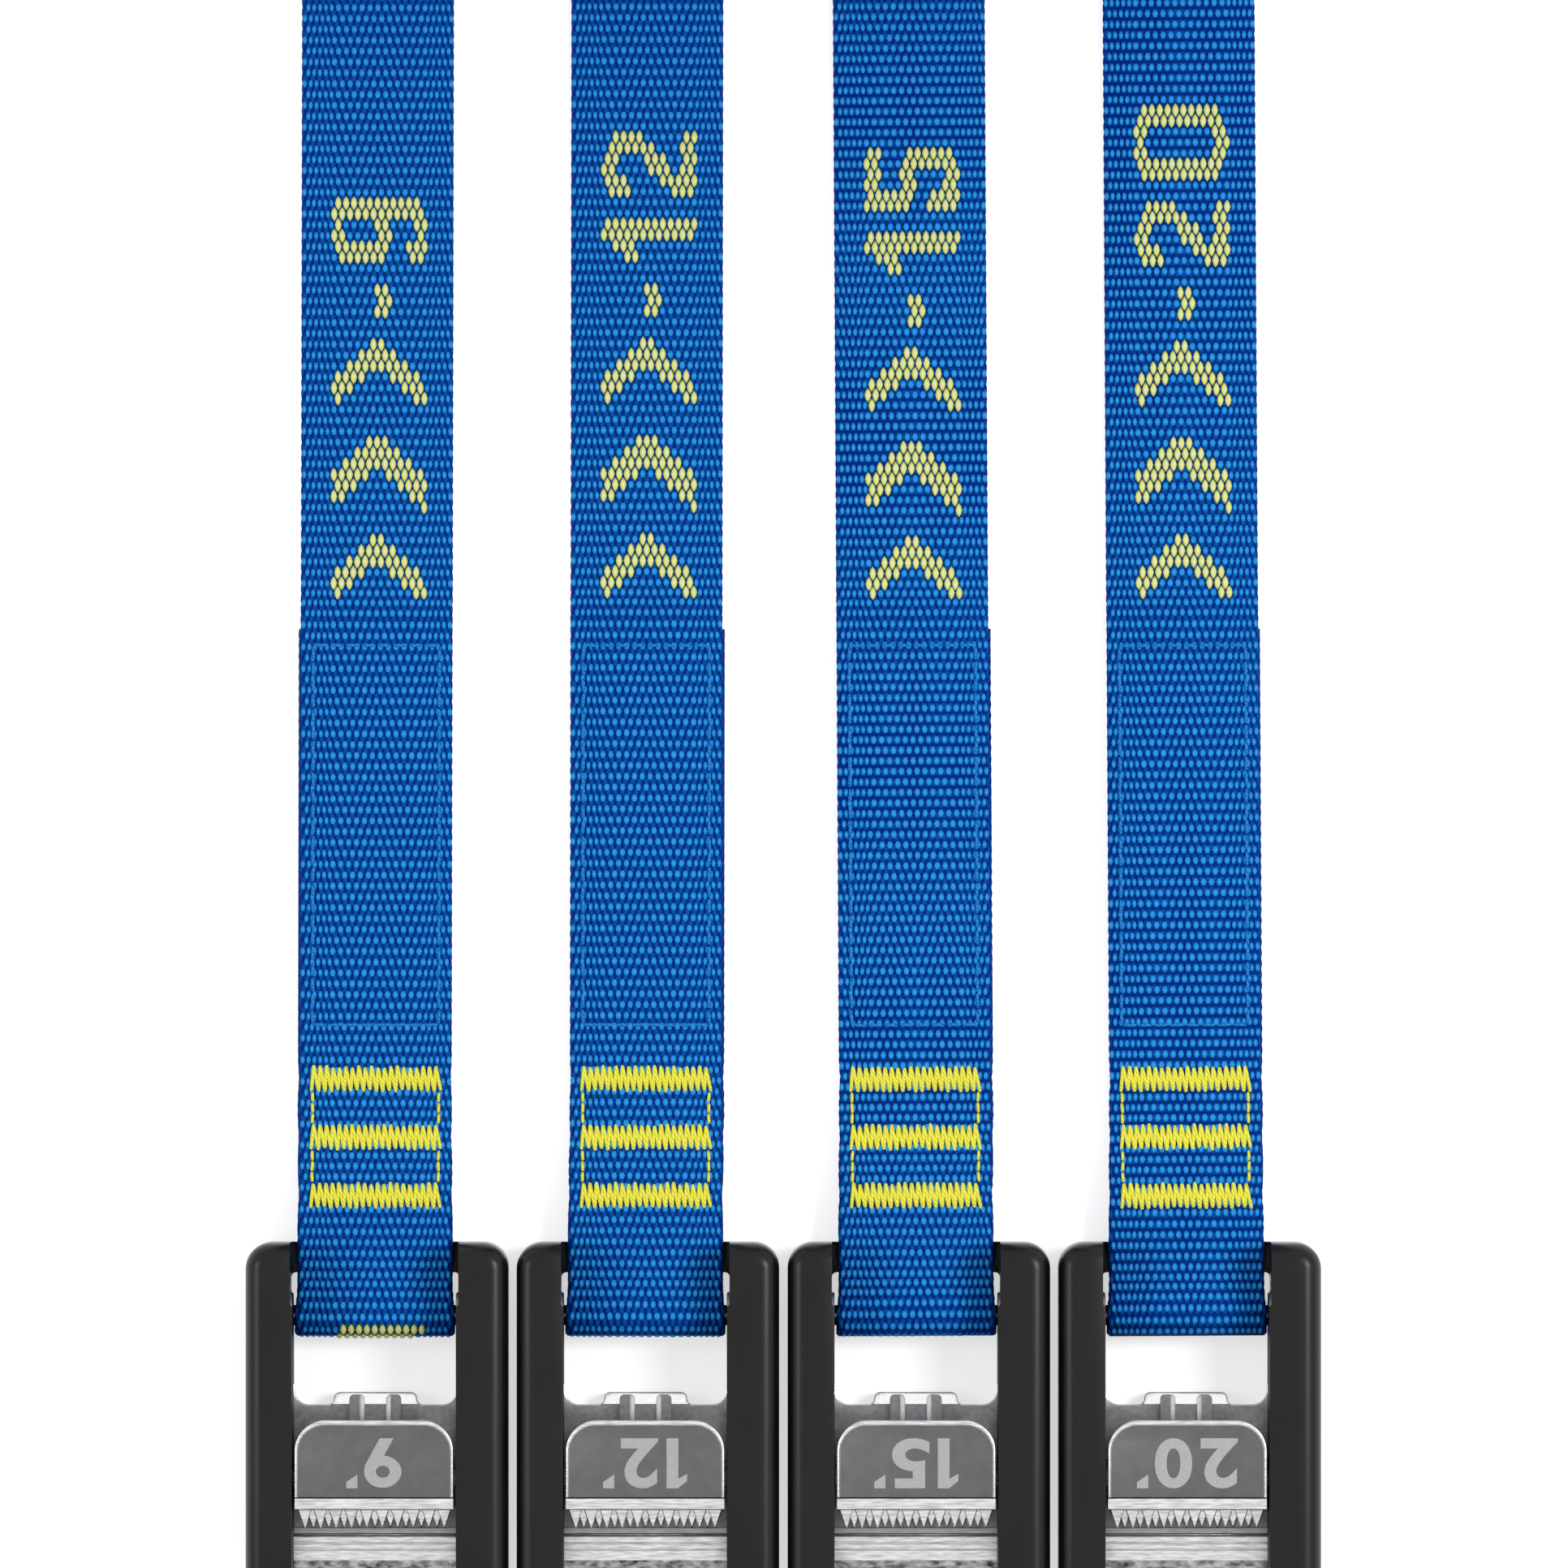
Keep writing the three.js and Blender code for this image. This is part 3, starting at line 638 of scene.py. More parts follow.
    @classmethod
    def wire(cls, name: str, lines: list[list[Point]], radius: float, smooth: bool) -> bpy.types.Object:
        """Makes round wire or thread along one or more lines of points."""
        curve = bpy.data.curves.new(name, "CURVE")
        curve.dimensions = "3D"
        curve.bevel_depth = radius
        curve.bevel_resolution = 2 if smooth else 1
        curve.resolution_u = 3
        curve.use_fill_caps = True
        for line in lines:
            spline = curve.splines.new("NURBS" if smooth else "POLY")
            spline.points.add(len(line) - 1)
            for point, place in zip(spline.points, line):
                point.co = (*place, 1.0)
            if smooth:
                spline.order_u = 3
                spline.use_endpoint_u = True
        piece = bpy.data.objects.new(name, curve)
        bpy.context.scene.collection.objects.link(piece)
        cls.take(piece)
        bpy.ops.object.convert(target="MESH")
        bpy.ops.object.shade_smooth()
        return piece

    @staticmethod
    def copy_to(piece: bpy.types.Object, name: str, matrix: Matrix) -> bpy.types.Object:
        """Sets down a copy of a piece with a mesh of its own."""
        made = bpy.data.objects.new(name, piece.data.copy())
        made.data.name = name
        bpy.context.scene.collection.objects.link(made)
        made.data.transform(matrix)
        return made

    @staticmethod
    def paint(
        piece: bpy.types.Object, finishes: list[Finish], choose: Callable[[Vector, Vector], int]
    ) -> None:
        """Gives a piece its finishes, one for each face.

        Args:
            piece: the piece, in the strap's own millimetres.
            finishes: the finishes that it wears.
            choose: says which one a face takes, from its middle and its normal.
        """
        piece.data.materials.clear()
        for finish in finishes:
            piece.data.materials.append(finish.material())
        for face in piece.data.polygons:
            face.material_index = choose(face.center, face.normal)


def near(value: float, target: float, within: float = 0.02) -> bool:
    """Says whether a value is at a target."""
    return abs(value - target) < within


def upright(a: Vector, b: Vector) -> bool:
    """Says whether an edge stands upright."""
    return near(a.x, b.x) and near(a.y, b.y) and abs(a.z - b.z) > 0.05


def across_at(y: float, z: float) -> Test:
    """Gives the test for edges that run across the buckle at one place."""
    return lambda a, b: all(near(end.y, y) and near(end.z, z) for end in (a, b))


def level_at(height: float) -> Test:
    """Gives the test for edges that lie at one height."""
    return lambda a, b: near(a.z, height) and near(b.z, height)


# ---- The webbing ---------------------------------------------------------------------------------


@dataclass
class Station:
    """One place along the middle of the webbing."""

    y: float
    z: float
    along: float = 0.0


def smooth_step(t: float) -> float:
    """Eases from 0 to 1."""
    s = min(max(t, 0.0), 1.0)
    return s * s * (3 - 2 * s)


# What is woven into the webbing, float by float. A digit's columns run from its left to its right,
# and each column from its head to its foot; neighbouring columns are half a float apart.
DIGITS = {
    "9": (".######...##", "#######..###", "##....##...#", "#....##...##", "############", "###########."),
    "1": ("...##.......", ".###........", "############", "############"),
    "2": (".###.....###", "###....#####", "##....###.##", "##...###..##", ".######...##", ".####.....##"),
    "5": ("######..####", "######..####", "##...##...##", "##..##....##", "##...#######", "##...######."),
    "0": (
        ".##########.", "###########.", "##........##", "#.........##", "##........##",
        "###########.", ".##########.",
    ),
}
DASH = (".....##.....", "......##....", ".....##.....")
BLANK = "............"
# The webbing's finishes, as its faces number them
PLAIN, BLUE, YELLOW = range(3)


@dataclass
class Webbing:
    """One strap's webbing: a single band, from its sewn end round the bar to the heart of its roll."""

    place: Place
    laid_step: float = 0.6
    turn_steps: int = 64
    # Half the width, half the length and the rise of a float of each kind
    border_float: Point = (0.45, 0.76, 0.18)
    plain_float: Point = (0.6, 0.78, 0.22)
    marked_float: Point = (0.6, 1.24, 0.38)
    uneven: float = 0.03
    block_rows: int = 9
    chevron_rows: int = 7
    dash_row: int = 25
    stations: list[Station] = field(default_factory=list)
    verts: list[Point] = field(default_factory=list)
    faces: list[tuple[int, ...]] = field(default_factory=list)
    finishes: list[int] = field(default_factory=list)
    crowns: list[float] = field(default_factory=list)
    flat_places: list[Flat] = field(default_factory=list)
    bar_index: int = 0

    # -- its course --

    def height(self, y: float, level: int) -> float:
        """Gives the height of a layer's middle behind the flex line, level 0 being the lower layer."""
        landed = smooth_step((y - CLOTH.flex_y) / (CLOTH.landing_y - CLOTH.flex_y))
        on_saddle = CLOTH.saddle_height + level * CLOTH.layer_step
        laid = CLOTH.laid_height + level * CLOTH.layer_step
        dropped = smooth_step((y - CLOTH.sewn_end_y - METAL.gap) / CLOTH.step_down)
        return on_saddle + (laid - on_saddle) * landed - dropped * level * CLOTH.layer_step

    def roll_centre(self) -> float:
        """Gives the y of the roll's middle."""
        return CLOTH.roll_near_y + self.place.roll_radius

    def loop(self) -> Iterator[Flat]:
        """Gives the loop's points, in over the saddle, round the front of the bar and back out."""
        low = CLOTH.saddle_height
        high = low + CLOTH.layer_step
        inner = -METAL.rim + 0.9
        wrap = METAL.bar_radius + METAL.gap + CLOTH.laid_height
        bend = (METAL.bar_y - inner) / 2
        under = [
            (inner, low), (inner + bend, low),
            (METAL.bar_y - bend, METAL.bar_z - wrap), (METAL.bar_y, METAL.bar_z - wrap),
        ]
        over = [
            (METAL.bar_y, METAL.bar_z + wrap), (METAL.bar_y - bend, METAL.bar_z + wrap),
            (inner + bend, high), (inner, high),
        ]
        for y in (2.4, 1.2, 0.0, -1.5, -3.0):
            yield y, low
        yield from self.curve(under, 10)
        for i in range(1, 12):
            angle = math.pi * (1.5 - i / 12)
            yield METAL.bar_y + wrap * math.cos(angle), METAL.bar_z + wrap * math.sin(angle)
        yield from self.curve(over, 10)
        for y in (-3.0, -1.5, 0.0, 1.2, 2.4):
            yield y, high

    @staticmethod
    def curve(handles: list[Flat], steps: int) -> Iterator[Flat]:
        """Gives points on a cubic curve between its first and last handle."""
        a, b, c, d = (Vector(h) for h in handles)
        for i in range(steps + 1):
            t = i / steps
            point = a * (1 - t) ** 3 + b * 3 * t * (1 - t) ** 2 + c * 3 * t * t * (1 - t) + d * t ** 3
            yield point.x, point.y

    def follow(self) -> None:
        """Lays down the stations of the whole band and measures along them from the marks."""
        tail_steps = round((CLOTH.sewn_end_y - CLOTH.flex_y) / 0.9)
        points = [
            (y, self.height(y, 0))
            for i in range(tail_steps + 1)
            for y in [CLOTH.sewn_end_y + (CLOTH.flex_y - CLOTH.sewn_end_y) * i / tail_steps]
        ]
        points += list(self.loop())
        centre = self.roll_centre()
        laid_steps = round((centre - CLOTH.flex_y) / self.laid_step)
        points += [
            (y, self.height(y, 1))
            for i in range(laid_steps)
            for y in [CLOTH.flex_y + (centre - CLOTH.flex_y) * i / laid_steps]
        ]
        radius = self.place.roll_radius
        outer = radius - CLOTH.laid_height
        turns = (outer - CLOTH.eye_radius - CLOTH.laid_height) / CLOTH.turn_pitch
        for i in range(int(turns * self.turn_steps) + 1):
            turn = i / self.turn_steps
            r = outer - CLOTH.turn_pitch * turn
            angle = -math.pi / 2 + 2 * math.pi * turn
            points.append((centre + r * math.cos(angle), radius + r * math.sin(angle)))
        along = 0.0
        at_marks = 0.0
        last = points[0]
        on_top = False
        for y, z in points:
            along += math.hypot(y - last[0], z - last[1])
            on_top = on_top or y < METAL.bar_y
            if on_top and last[0] < CLOTH.marks_y <= y and not at_marks:
                at_marks = along
            self.stations.append(Station(y, z, along))
            last = (y, z)
        for station in self.stations:
            station.along -= at_marks
        self.bar_index = min(range(len(self.stations)), key=lambda i: self.stations[i].y)

    def length(self) -> float:
        """Gives the band's whole length in millimetres."""
        return self.stations[-1].along - self.stations[0].along

    def direction(self, index: int) -> Flat:
        """Gives the band's unit direction (y, z) at a station."""
        a = self.stations[max(index - 1, 0)]
        b = self.stations[min(index + 1, len(self.stations) - 1)]
        span = math.hypot(b.y - a.y, b.z - a.z)
        return (b.y - a.y) / span, (b.z - a.z) / span

    # -- its ground cloth --

    def half_width(self, station: Station, sewn: bool) -> float:
        """Gives the half width at a station, scalloped by the weft and drawn in by the stitching."""
        scallop = 0.16 * (abs(math.sin(math.pi * station.along / self.place.row_pitch)) - 0.5)
        flare = 0.0
        pinch = 0.0
        if sewn:
            flare = 0.25 * smooth_step((30 - station.y) / 30) + 0.4 * smooth_step((-7 - station.y) / 7)
            for middle in Stitching.tack_middles():
                pinch += 0.16 * math.exp(-(((station.y - middle) / 2.0) ** 2))
        return CLOTH.half_width + scallop + flare - pinch

    def side_shift(self, index: int) -> float:
        """Gives how far the band lies to the side, as the sewn tail does under the upper layer."""
        station = self.stations[index]
        if index > self.bar_index:
            return 0.0
        return self.place.tail_shift * smooth_step((station.y - 4) / 20)

    def add_ground(self) -> None:
        """Adds the band itself, a ring of eight corners at each station, closed at both ends."""
        thick, edge = CLOTH.half_thickness, CLOTH.edge
        first = len(self.verts)
        for i, station in enumerate(self.stations):
            ty, tz = self.direction(i)
            wide = self.half_width(station, station.y < CLOTH.sewn_end_y)
            ring = (
                (-wide + edge, thick), (wide - edge, thick), (wide, thick - edge), (wide, edge - thick),
                (wide - edge, -thick), (-wide + edge, -thick), (-wide, edge - thick), (-wide, thick - edge),
            )
            shift = self.side_shift(i)
            for x, up in ring:
                self.verts.append((x + shift, station.y - tz * up, station.z + ty * up))
                self.crowns.append(0.0)
                self.flat_places.append((x, station.along))
        count = 8
        for i in range(len(self.stations) - 1):
            a = first + i * count
            for k in range(count):
                n = (k + 1) % count
                self.add_face((a + k, a + n, a + count + n, a + count + k), PLAIN)
        last = first + (len(self.stations) - 1) * count
        self.add_face(tuple(first + k for k in reversed(range(count))), PLAIN)
        self.add_face(tuple(last + k for k in range(count)), PLAIN)

    def add_face(self, corners: tuple[int, ...], finish: int) -> None:
        """Adds a face with the number of its finish."""
        self.faces.append(corners)
        self.finishes.append(finish)

    # -- its floats --

    @staticmethod
    def columns(shifted: bool) -> tuple[list[float], list[float], list[float]]:
        """Gives where a row's floats lie: left border, marked middle and right border."""
        edge = CLOTH.wide_count * CLOTH.wide_pitch / 2
        half = 0.5 if shifted else 0.0
        left_count = CLOTH.narrow_count
        left = [-edge - 0.41 + CLOTH.narrow_pitch * (0.59 * 2 * half - k) for k in range(left_count)]
        middle = [-edge + CLOTH.wide_pitch * (k + 0.5 + half) for k in range(CLOTH.wide_count)]
        right_count = CLOTH.narrow_count - (1 if shifted else 0)
        right = [edge + 0.45 + CLOTH.narrow_pitch * (k + 2 * 0.6 * half) for k in range(right_count)]
        return left, middle, right

    def marks(self) -> dict[int, str]:
        """Gives the marked rows: three plain chevrons, a dash and the strap's length in feet."""
        rows: dict[int, str] = {}
        for block in range(3):
            for j in range(self.chevron_rows):
                row = block * self.block_rows + j
                centres = self.columns(row % 2 == 1)[1]
                rows[row] = "".join("#" if self.in_chevron(x, j) else "." for x in centres)
        columns = [BLANK, BLANK, *DASH]
        for digit in str(self.place.feet):
            columns += [BLANK, BLANK, *DIGITS[digit]]
        rows.update({self.dash_row + i: column for i, column in enumerate(columns)})
        return rows

    @staticmethod
    def in_chevron(x: float, j: int) -> bool:
        """Says whether a float at x in row j of a chevron block belongs to the chevron."""
        arm = 4 * (1 - abs(x) / (CLOTH.wide_pitch * CLOTH.wide_count / 2))
        return arm - 0.3 <= j < arm + 2.7

    def add_float(self, x: float, index: float, side: int, kind: int, size: Point) -> None:
        """Adds one float, a closed grain that stands on the cloth.

        Args:
            x: its place across the cloth.
            index: its place along the stations, which may lie between two of them.
            side: 1 on the face of the cloth, -1 on its back.
            kind: the number of its finish.
            size: half its width, half its length and its rise.
        """
        i = int(index)
        share = index - i
        here, after = self.stations[i], self.stations[i + 1]
        ty, tz = self.direction(i if share < 0.5 else i + 1)
        y = here.y + (after.y - here.y) * share
        z = here.z + (after.z - here.z) * share
        along = here.along + (after.along - here.along) * share
        half_width, half_length, rise = size
        outline = ((-0.55, 0.92), (-1, 0), (-0.55, -0.92), (0.55, -0.92), (1, 0), (0.55, 0.92))
        # Each ring's last number places it on the float's colour ramp, from painted shade at the rim to a
        # painted highlight at the crown
        rings = [(1.0, -0.12, 0.0), (0.74, rise * 0.72, 0.72)]
        if kind == YELLOW:
            outline = (
                (0, 1), (-0.66, 0.6), (-1, 0), (-0.66, -0.6), (0, -1), (0.66, -0.6), (1, 0), (0.66, 0.6),
            )
            rings = [(1.0, -0.12, 0.0), (0.84, rise * 0.55, 0.5), (0.5, rise * 0.92, 0.85)]
        first = len(self.verts)
        for scale, lift, crown in rings:
            for across, forward in outline:
                up = (CLOTH.half_thickness + lift) * side
                dx = across * half_width * scale * side
                ds = forward * half_length * scale
                self.add_vertex(x + dx, y + ty * ds - tz * up, z + tz * ds + ty * up, crown, along + ds)
        up = (CLOTH.half_thickness + rise) * side
        self.add_vertex(x, y - tz * up, z + ty * up, 1.0, along)
        count = len(outline)
        for level in range(len(rings) - 1):
            a = first + level * count
            for k in range(count):
                n = (k + 1) % count
                self.add_face((a + k, a + n, a + count + n, a + count + k), kind)
        rim = first + (len(rings) - 1) * count
        top = rim + count
        for k in range(count):
            self.add_face((rim + k, rim + (k + 1) % count, top), kind)
        self.add_face(tuple(first + k for k in reversed(range(count))), kind)

    def add_vertex(self, x: float, y: float, z: float, crown: float, along: float) -> None:
        """Adds a vertex with its height in the float and its place on the flat cloth."""
        self.verts.append((x, y, z))
        self.crowns.append(crown)
        self.flat_places.append((x, along))

    def index_at(self, along: float, start: int) -> float:
        """Finds the station, and the share of the way to the next, at a distance along the band."""
        i = start
        while self.stations[i + 1].along < along:
            i += 1
        here, after = self.stations[i], self.stations[i + 1]
        return i + (along - here.along) / (after.along - here.along)

    def add_row(self, row: int, index: float, side: int, marks: str, chance: random.Random) -> None:
        """Adds one row of floats across the cloth."""
        left, middle, right = self.columns(row % 2 == 1)
        for x in left + right:
            wide, long, rise = self.border_float
            self.add_float(x, index, side, BLUE, (wide, long, rise + chance.uniform(-0.02, 0.03)))
        for x, mark in zip(middle, marks):
            if mark == "#":
                self.add_float(x, index, side, YELLOW, self.marked_float)
            else:
                wide, long, rise = self.plain_float
                rise += chance.uniform(-self.uneven, self.uneven)
                wide += chance.uniform(-self.uneven, self.uneven)
                self.add_float(x, index, side, BLUE, (wide, long, rise))

    def add_floats(self) -> None:
        """Adds the floats of the laid face and of the roll's outermost turn."""
        chance = random.Random(self.place.feet)
        marks = self.marks()
        bar = self.bar_index
        centre = self.roll_centre()
        at_roll = next(i for i in range(bar, len(self.stations)) if self.stations[i].y >= centre)
        radius = self.place.roll_radius
        top_end = self.stations[at_roll].along - 10
        outer_turn = 2 * math.pi * (radius - CLOTH.laid_height)
        pitch = self.place.row_pitch
        row = math.ceil((self.stations[bar].along + 0.3) / pitch)
        if self.place.feet == 9:
            # The next run of the marking begins where this strap happens to fold
            marks.update({row: ".##########.", row + 1: ".###########"})
        index = float(bar)
        while row * pitch < self.stations[at_roll].along + outer_turn * 0.94:
            along = row * pitch
            index = self.index_at(along, int(index))
            if along < top_end:
                self.add_row(row, index, 1, marks.get(row, BLANK), chance)
            elif along > self.stations[at_roll].along + outer_turn * 0.024:
                self.add_row(row, index, -1, BLANK, chance)
            row += 1

    # -- the finished piece --

    def build(self) -> bpy.types.Object:
        """Makes the band and dresses it.

        Returns:
            The finished webbing.
        """
        self.follow()
        self.add_ground()
        self.add_floats()
        name = f"webbing_{self.place.tag}"
        mesh = bpy.data.meshes.new(name)
        mesh.from_pydata(self.verts, [], self.faces)
        for finish in (GROUND, BLUE_FLOATS, YELLOW_FLOATS):
            mesh.materials.append(finish.material())
        mesh.polygons.foreach_set("material_index", self.finishes)
        crown = mesh.attributes.new("crown", "FLOAT", "POINT")
        crown.data.foreach_set("value", self.crowns)
        uv = mesh.uv_layers.new(name="cloth")
        corners = [value for loop in mesh.loops for value in self.flat_places[loop.vertex_index]]
        uv.uv.foreach_set("vector", corners)
        piece = bpy.data.objects.new(name, mesh)
        bpy.context.scene.collection.objects.link(piece)
        mesh.transform(self.place.matrix(True))
        Bench.take(piece)
        bpy.ops.object.shade_smooth_by_angle(angle=math.radians(50))
        tag = self.place.tag
        self.place.body("strap")
        self.place.body("buckle")
        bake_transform(piece)
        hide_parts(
            f"webbing_loop_{tag}", f"webbing_strap_{tag}", f"webbing_sewn_tail_{tag}",
            f"webbing_roll_{tag}",
        )
        flat = (0.0254, self.length() * MM)
        return piece


# ---- Stitching and the tie -----------------------------------------------------------------------


@dataclass
class Stitching:
    """Bar tacks, the lines that join them, and the box seam that holds the sewn tail."""

    webbing: Webbing
    tack_half: float = 10.7
    tack_reach: float = 1.95
    zigzags: int = 20
    thread: float = 0.3
    line_x: float = 10.5
    stitch: float = 1.75
    box_low_y: float = 36.1
    box_high_y: float = 99.3
    box_stitch: float = 2.6
    rise: float = 0.42
    join_gap: float = 2.2
    # How high a stitch stands at each share of its way, in shares of its rise
    course: ClassVar[tuple[Flat, ...]] = (
        (0.0, -0.25), (0.12, 0.45), (0.35, 0.95), (0.65, 0.95), (0.88, 0.45), (1.0, -0.25),
    )

    @staticmethod
    def tack_middles() -> tuple[float, float, float]:
        """Gives the middles of the three bar tacks."""
        return 7.7, 17.4, 27.1

    def surface(self, y: float) -> float:
        """Gives the height of the upper layer's face."""
        return self.webbing.height(y, 1) + CLOTH.half_thickness

    def stroke(self, start: Flat, end: Flat) -> list[Point]:
        """Gives the line of one stitch, up out of the cloth, over it and down again."""
        points = []
        for share, lift in self.course:
            x = start[0] + (end[0] - start[0]) * share
            y = start[1] + (end[1] - start[1]) * share
            points.append((x, y, self.surface(y) + self.rise * lift))
        return points

    def tack(self, middle: float, chance: random.Random) -> bpy.types.Object:
        """Makes one bar tack, a dense zigzag across the webbing."""
        lines = []
        span = 2 * self.tack_half / (2 * self.zigzags)
        previous = (-self.tack_half, middle - self.tack_reach)
        for i in range(1, 2 * self.zigzags + 1):
            side = 1 if i % 2 else -1
            reach = self.tack_reach + chance.uniform(-0.25, 0.2)
            forward = i + (0.55 if i % 2 == 0 else 0.0)
            following = (-self.tack_half + span * (forward - 0.3), middle + side * reach)
            lines.append(self.stroke(previous, following))
            previous = following
        return Bench.wire("tack", lines, self.thread, False)

    def seam(
        self, start: Flat, end: Flat, stitch: float, chance: random.Random
    ) -> list[list[Point]]:
        """Gives the stitches of a straight seam."""
        length = math.hypot(end[0] - start[0], end[1] - start[1])
        count = max(1, round(length / stitch))
        unit = ((end[0] - start[0]) / length, (end[1] - start[1]) / length)
        lines = []
        for i in range(count):
            a = (i + 0.14) * length / count
            b = (i + 0.86) * length / count
            off = chance.uniform(-0.07, 0.07)
            lines.append(self.stroke(
                (start[0] + unit[0] * a - unit[1] * off, start[1] + unit[1] * a + unit[0] * off),
                (start[0] + unit[0] * b + unit[1] * off, start[1] + unit[1] * b - unit[0] * off),
            ))
        return lines

    def build(self) -> None:
        """Makes all the stitching of one strap."""
        place = self.webbing.place
        chance = random.Random(100 + place.feet)
        for number, middle in enumerate(self.tack_middles(), 1):
            tack = self.tack(middle, chance)
            self.finish(tack, f"tack_{number}_{place.tag}", YELLOW_THREAD)
            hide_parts(f"bartack_{number}_{place.tag}")
        low, middle, high = self.tack_middles()
        joins = []
        for x in (-self.line_x, self.line_x):
            joins += self.seam((x, low + self.join_gap), (x, middle - self.join_gap), self.stitch, chance)
            joins += self.seam((x, middle + self.join_gap), (x, high - self.join_gap), self.stitch, chance)
        self.finish(Bench.wire("joins", joins, 0.26, False), f"tack_joins_{place.tag}", YELLOW_THREAD)
        corners = [
            (-self.line_x, self.box_low_y), (self.line_x, self.box_low_y),
            (self.line_x, self.box_high_y), (-self.line_x, self.box_high_y),
        ]
        box = []
        for i, corner in enumerate(corners):
            box += self.seam(corner, corners[(i + 1) % 4], self.box_stitch, chance)
        self.finish(Bench.wire("box", box, 0.3, False), f"box_seam_{place.tag}", BLUE_THREAD)

    def finish(self, piece: bpy.types.Object, name: str, finish: Finish) -> None:
        """Names, places and dresses a run of stitching."""
        piece.name = name
        piece.data.materials.append(finish.material())
        piece.data.transform(self.webbing.place.matrix(True))
        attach(piece, self.webbing.place.body("strap"))


@dataclass
class RollTie:
    """The band of hook-and-loop tape that goes through the roll's eye and round its turns."""

    place: Place
    half_width: float = 4.0
    thickness: float = 1.2
    inside_half: float = 12.7
    flap_left: float = -6.0
    flap_right: float = 9.5

    def build(self) -> bpy.types.Object:
        """Makes the tie."""
        radius = self.place.roll_radius
        middle = CLOTH.roll_near_y + radius
        low = radius + math.sqrt(CLOTH.eye_radius ** 2 - self.half_width ** 2) - METAL.gap
        high = 2 * radius + METAL.gap
        side = self.inside_half + METAL.gap
        t = self.thickness
        front, rear = middle - self.half_width, middle + self.half_width
        band = Bench.slab("tie", side + t, (front, low - t), (rear, high + t))
        Bench.round_edges(band, lambda a, b: near(a.x, b.x) and near(a.z, b.z), 2 * t, 5)
        inside = Bench.slab("inside", side, (front - 1, low), (rear + 1, high))
        Bench.round_edges(inside, lambda a, b: near(a.x, b.x) and near(a.z, b.z), t / 2, 3)
        Bench.cut(band, inside)
        flap = Bench.block(
            "flap", (self.flap_left, front + 0.2, high + t - 0.1),
            (self.flap_right, rear - 0.2, high + t + 0.9),
        )
        Bench.round_edges(flap, lambda a, b: upright(a, b) and a.x > 0, 2.5, 5)
        Bench.weld(band, flap)
        Bench.soften(band, 0.2)
        band.name = f"roll_tie_band_{self.place.tag}"
        band.data.materials.append(TAPE.material())
        band.data.transform(self.place.matrix(True))
        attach(band, self.place.body("strap"))
        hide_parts(f"roll_tie_{self.place.tag}")
        return band


# ---- The buckle ----------------------------------------------------------------------------------


@dataclass
class Bumper:
    """The rubber ring around the buckle."""

    left: float = -21.35
    right: float = 22.25
    length: float = 61.0
    height: float = 17.0
    corner: float = 4.2
    edge: float = 3.1
    lip_room: float = 0.06
    throat_room: float = 0.45
    throat: float = 5.6
    window_corner: float = 1.2
    throat_corner: float = 0.8
    saddle_edge: float = 0.6
    pocket_rear: float = 4.2
    over: float = 2.0

    def build(self) -> bpy.types.Object:
        """Models the ring once, in the strap's own millimetres."""
        ring = Bench.block("bumper", (self.left, -self.length, 0.0), (self.right, 0.0, self.height))
        Bench.round_edges(ring, upright, self.corner, 9)
        Bench.round_edges(ring, level_at(self.height), self.edge, 7)
        Bench.round_edges(ring, level_at(0.0), self.edge, 4)
        lip = METAL.half_opening + self.lip_room
        front = -(self.length - METAL.rim)
        window = Bench.slab("window", lip, (front, -self.over), (-METAL.rim, self.height + self.over))
        Bench.round_edges(window, upright, self.window_corner, 4)
        Bench.cut(ring, window)
        pocket_x = METAL.outer + METAL.gap
        pocket = Bench.slab(
            "pocket", pocket_x, (METAL.front_y - METAL.gap, METAL.lip),
            (METAL.bar_y + self.pocket_rear, self.height - METAL.lip),
        )
        Bench.cut(ring, pocket)
        wide = METAL.half_opening + self.throat_room
        throat = Bench.slab(
            "throat", wide, (-METAL.rim - self.throat, -self.over), (-METAL.rim, self.height + self.over)
        )
        Bench.round_edges(throat, upright, self.throat_corner, 3)
        Bench.cut(ring, throat)
        ends = ((self.over, -METAL.rim - self.over), (front + self.over, -self.length - self.over))
        for rear, fore in ends:
            saddle = Bench.slab("saddle", wide, (fore, METAL.saddle), (rear, self.height + self.over))
            Bench.cut(ring, saddle)
        Bench.round_edges(ring, self.at_saddle, self.saddle_edge, 3)
        return Bench.soften(ring, 0.3)

    def at_saddle(self, a: Vector, b: Vector) -> bool:
        """Picks the edges that run across at the height of the saddles."""
        crosses = abs(a.x - b.x) > 1
        return crosses and near(a.z, METAL.saddle) and near(b.z, METAL.saddle)


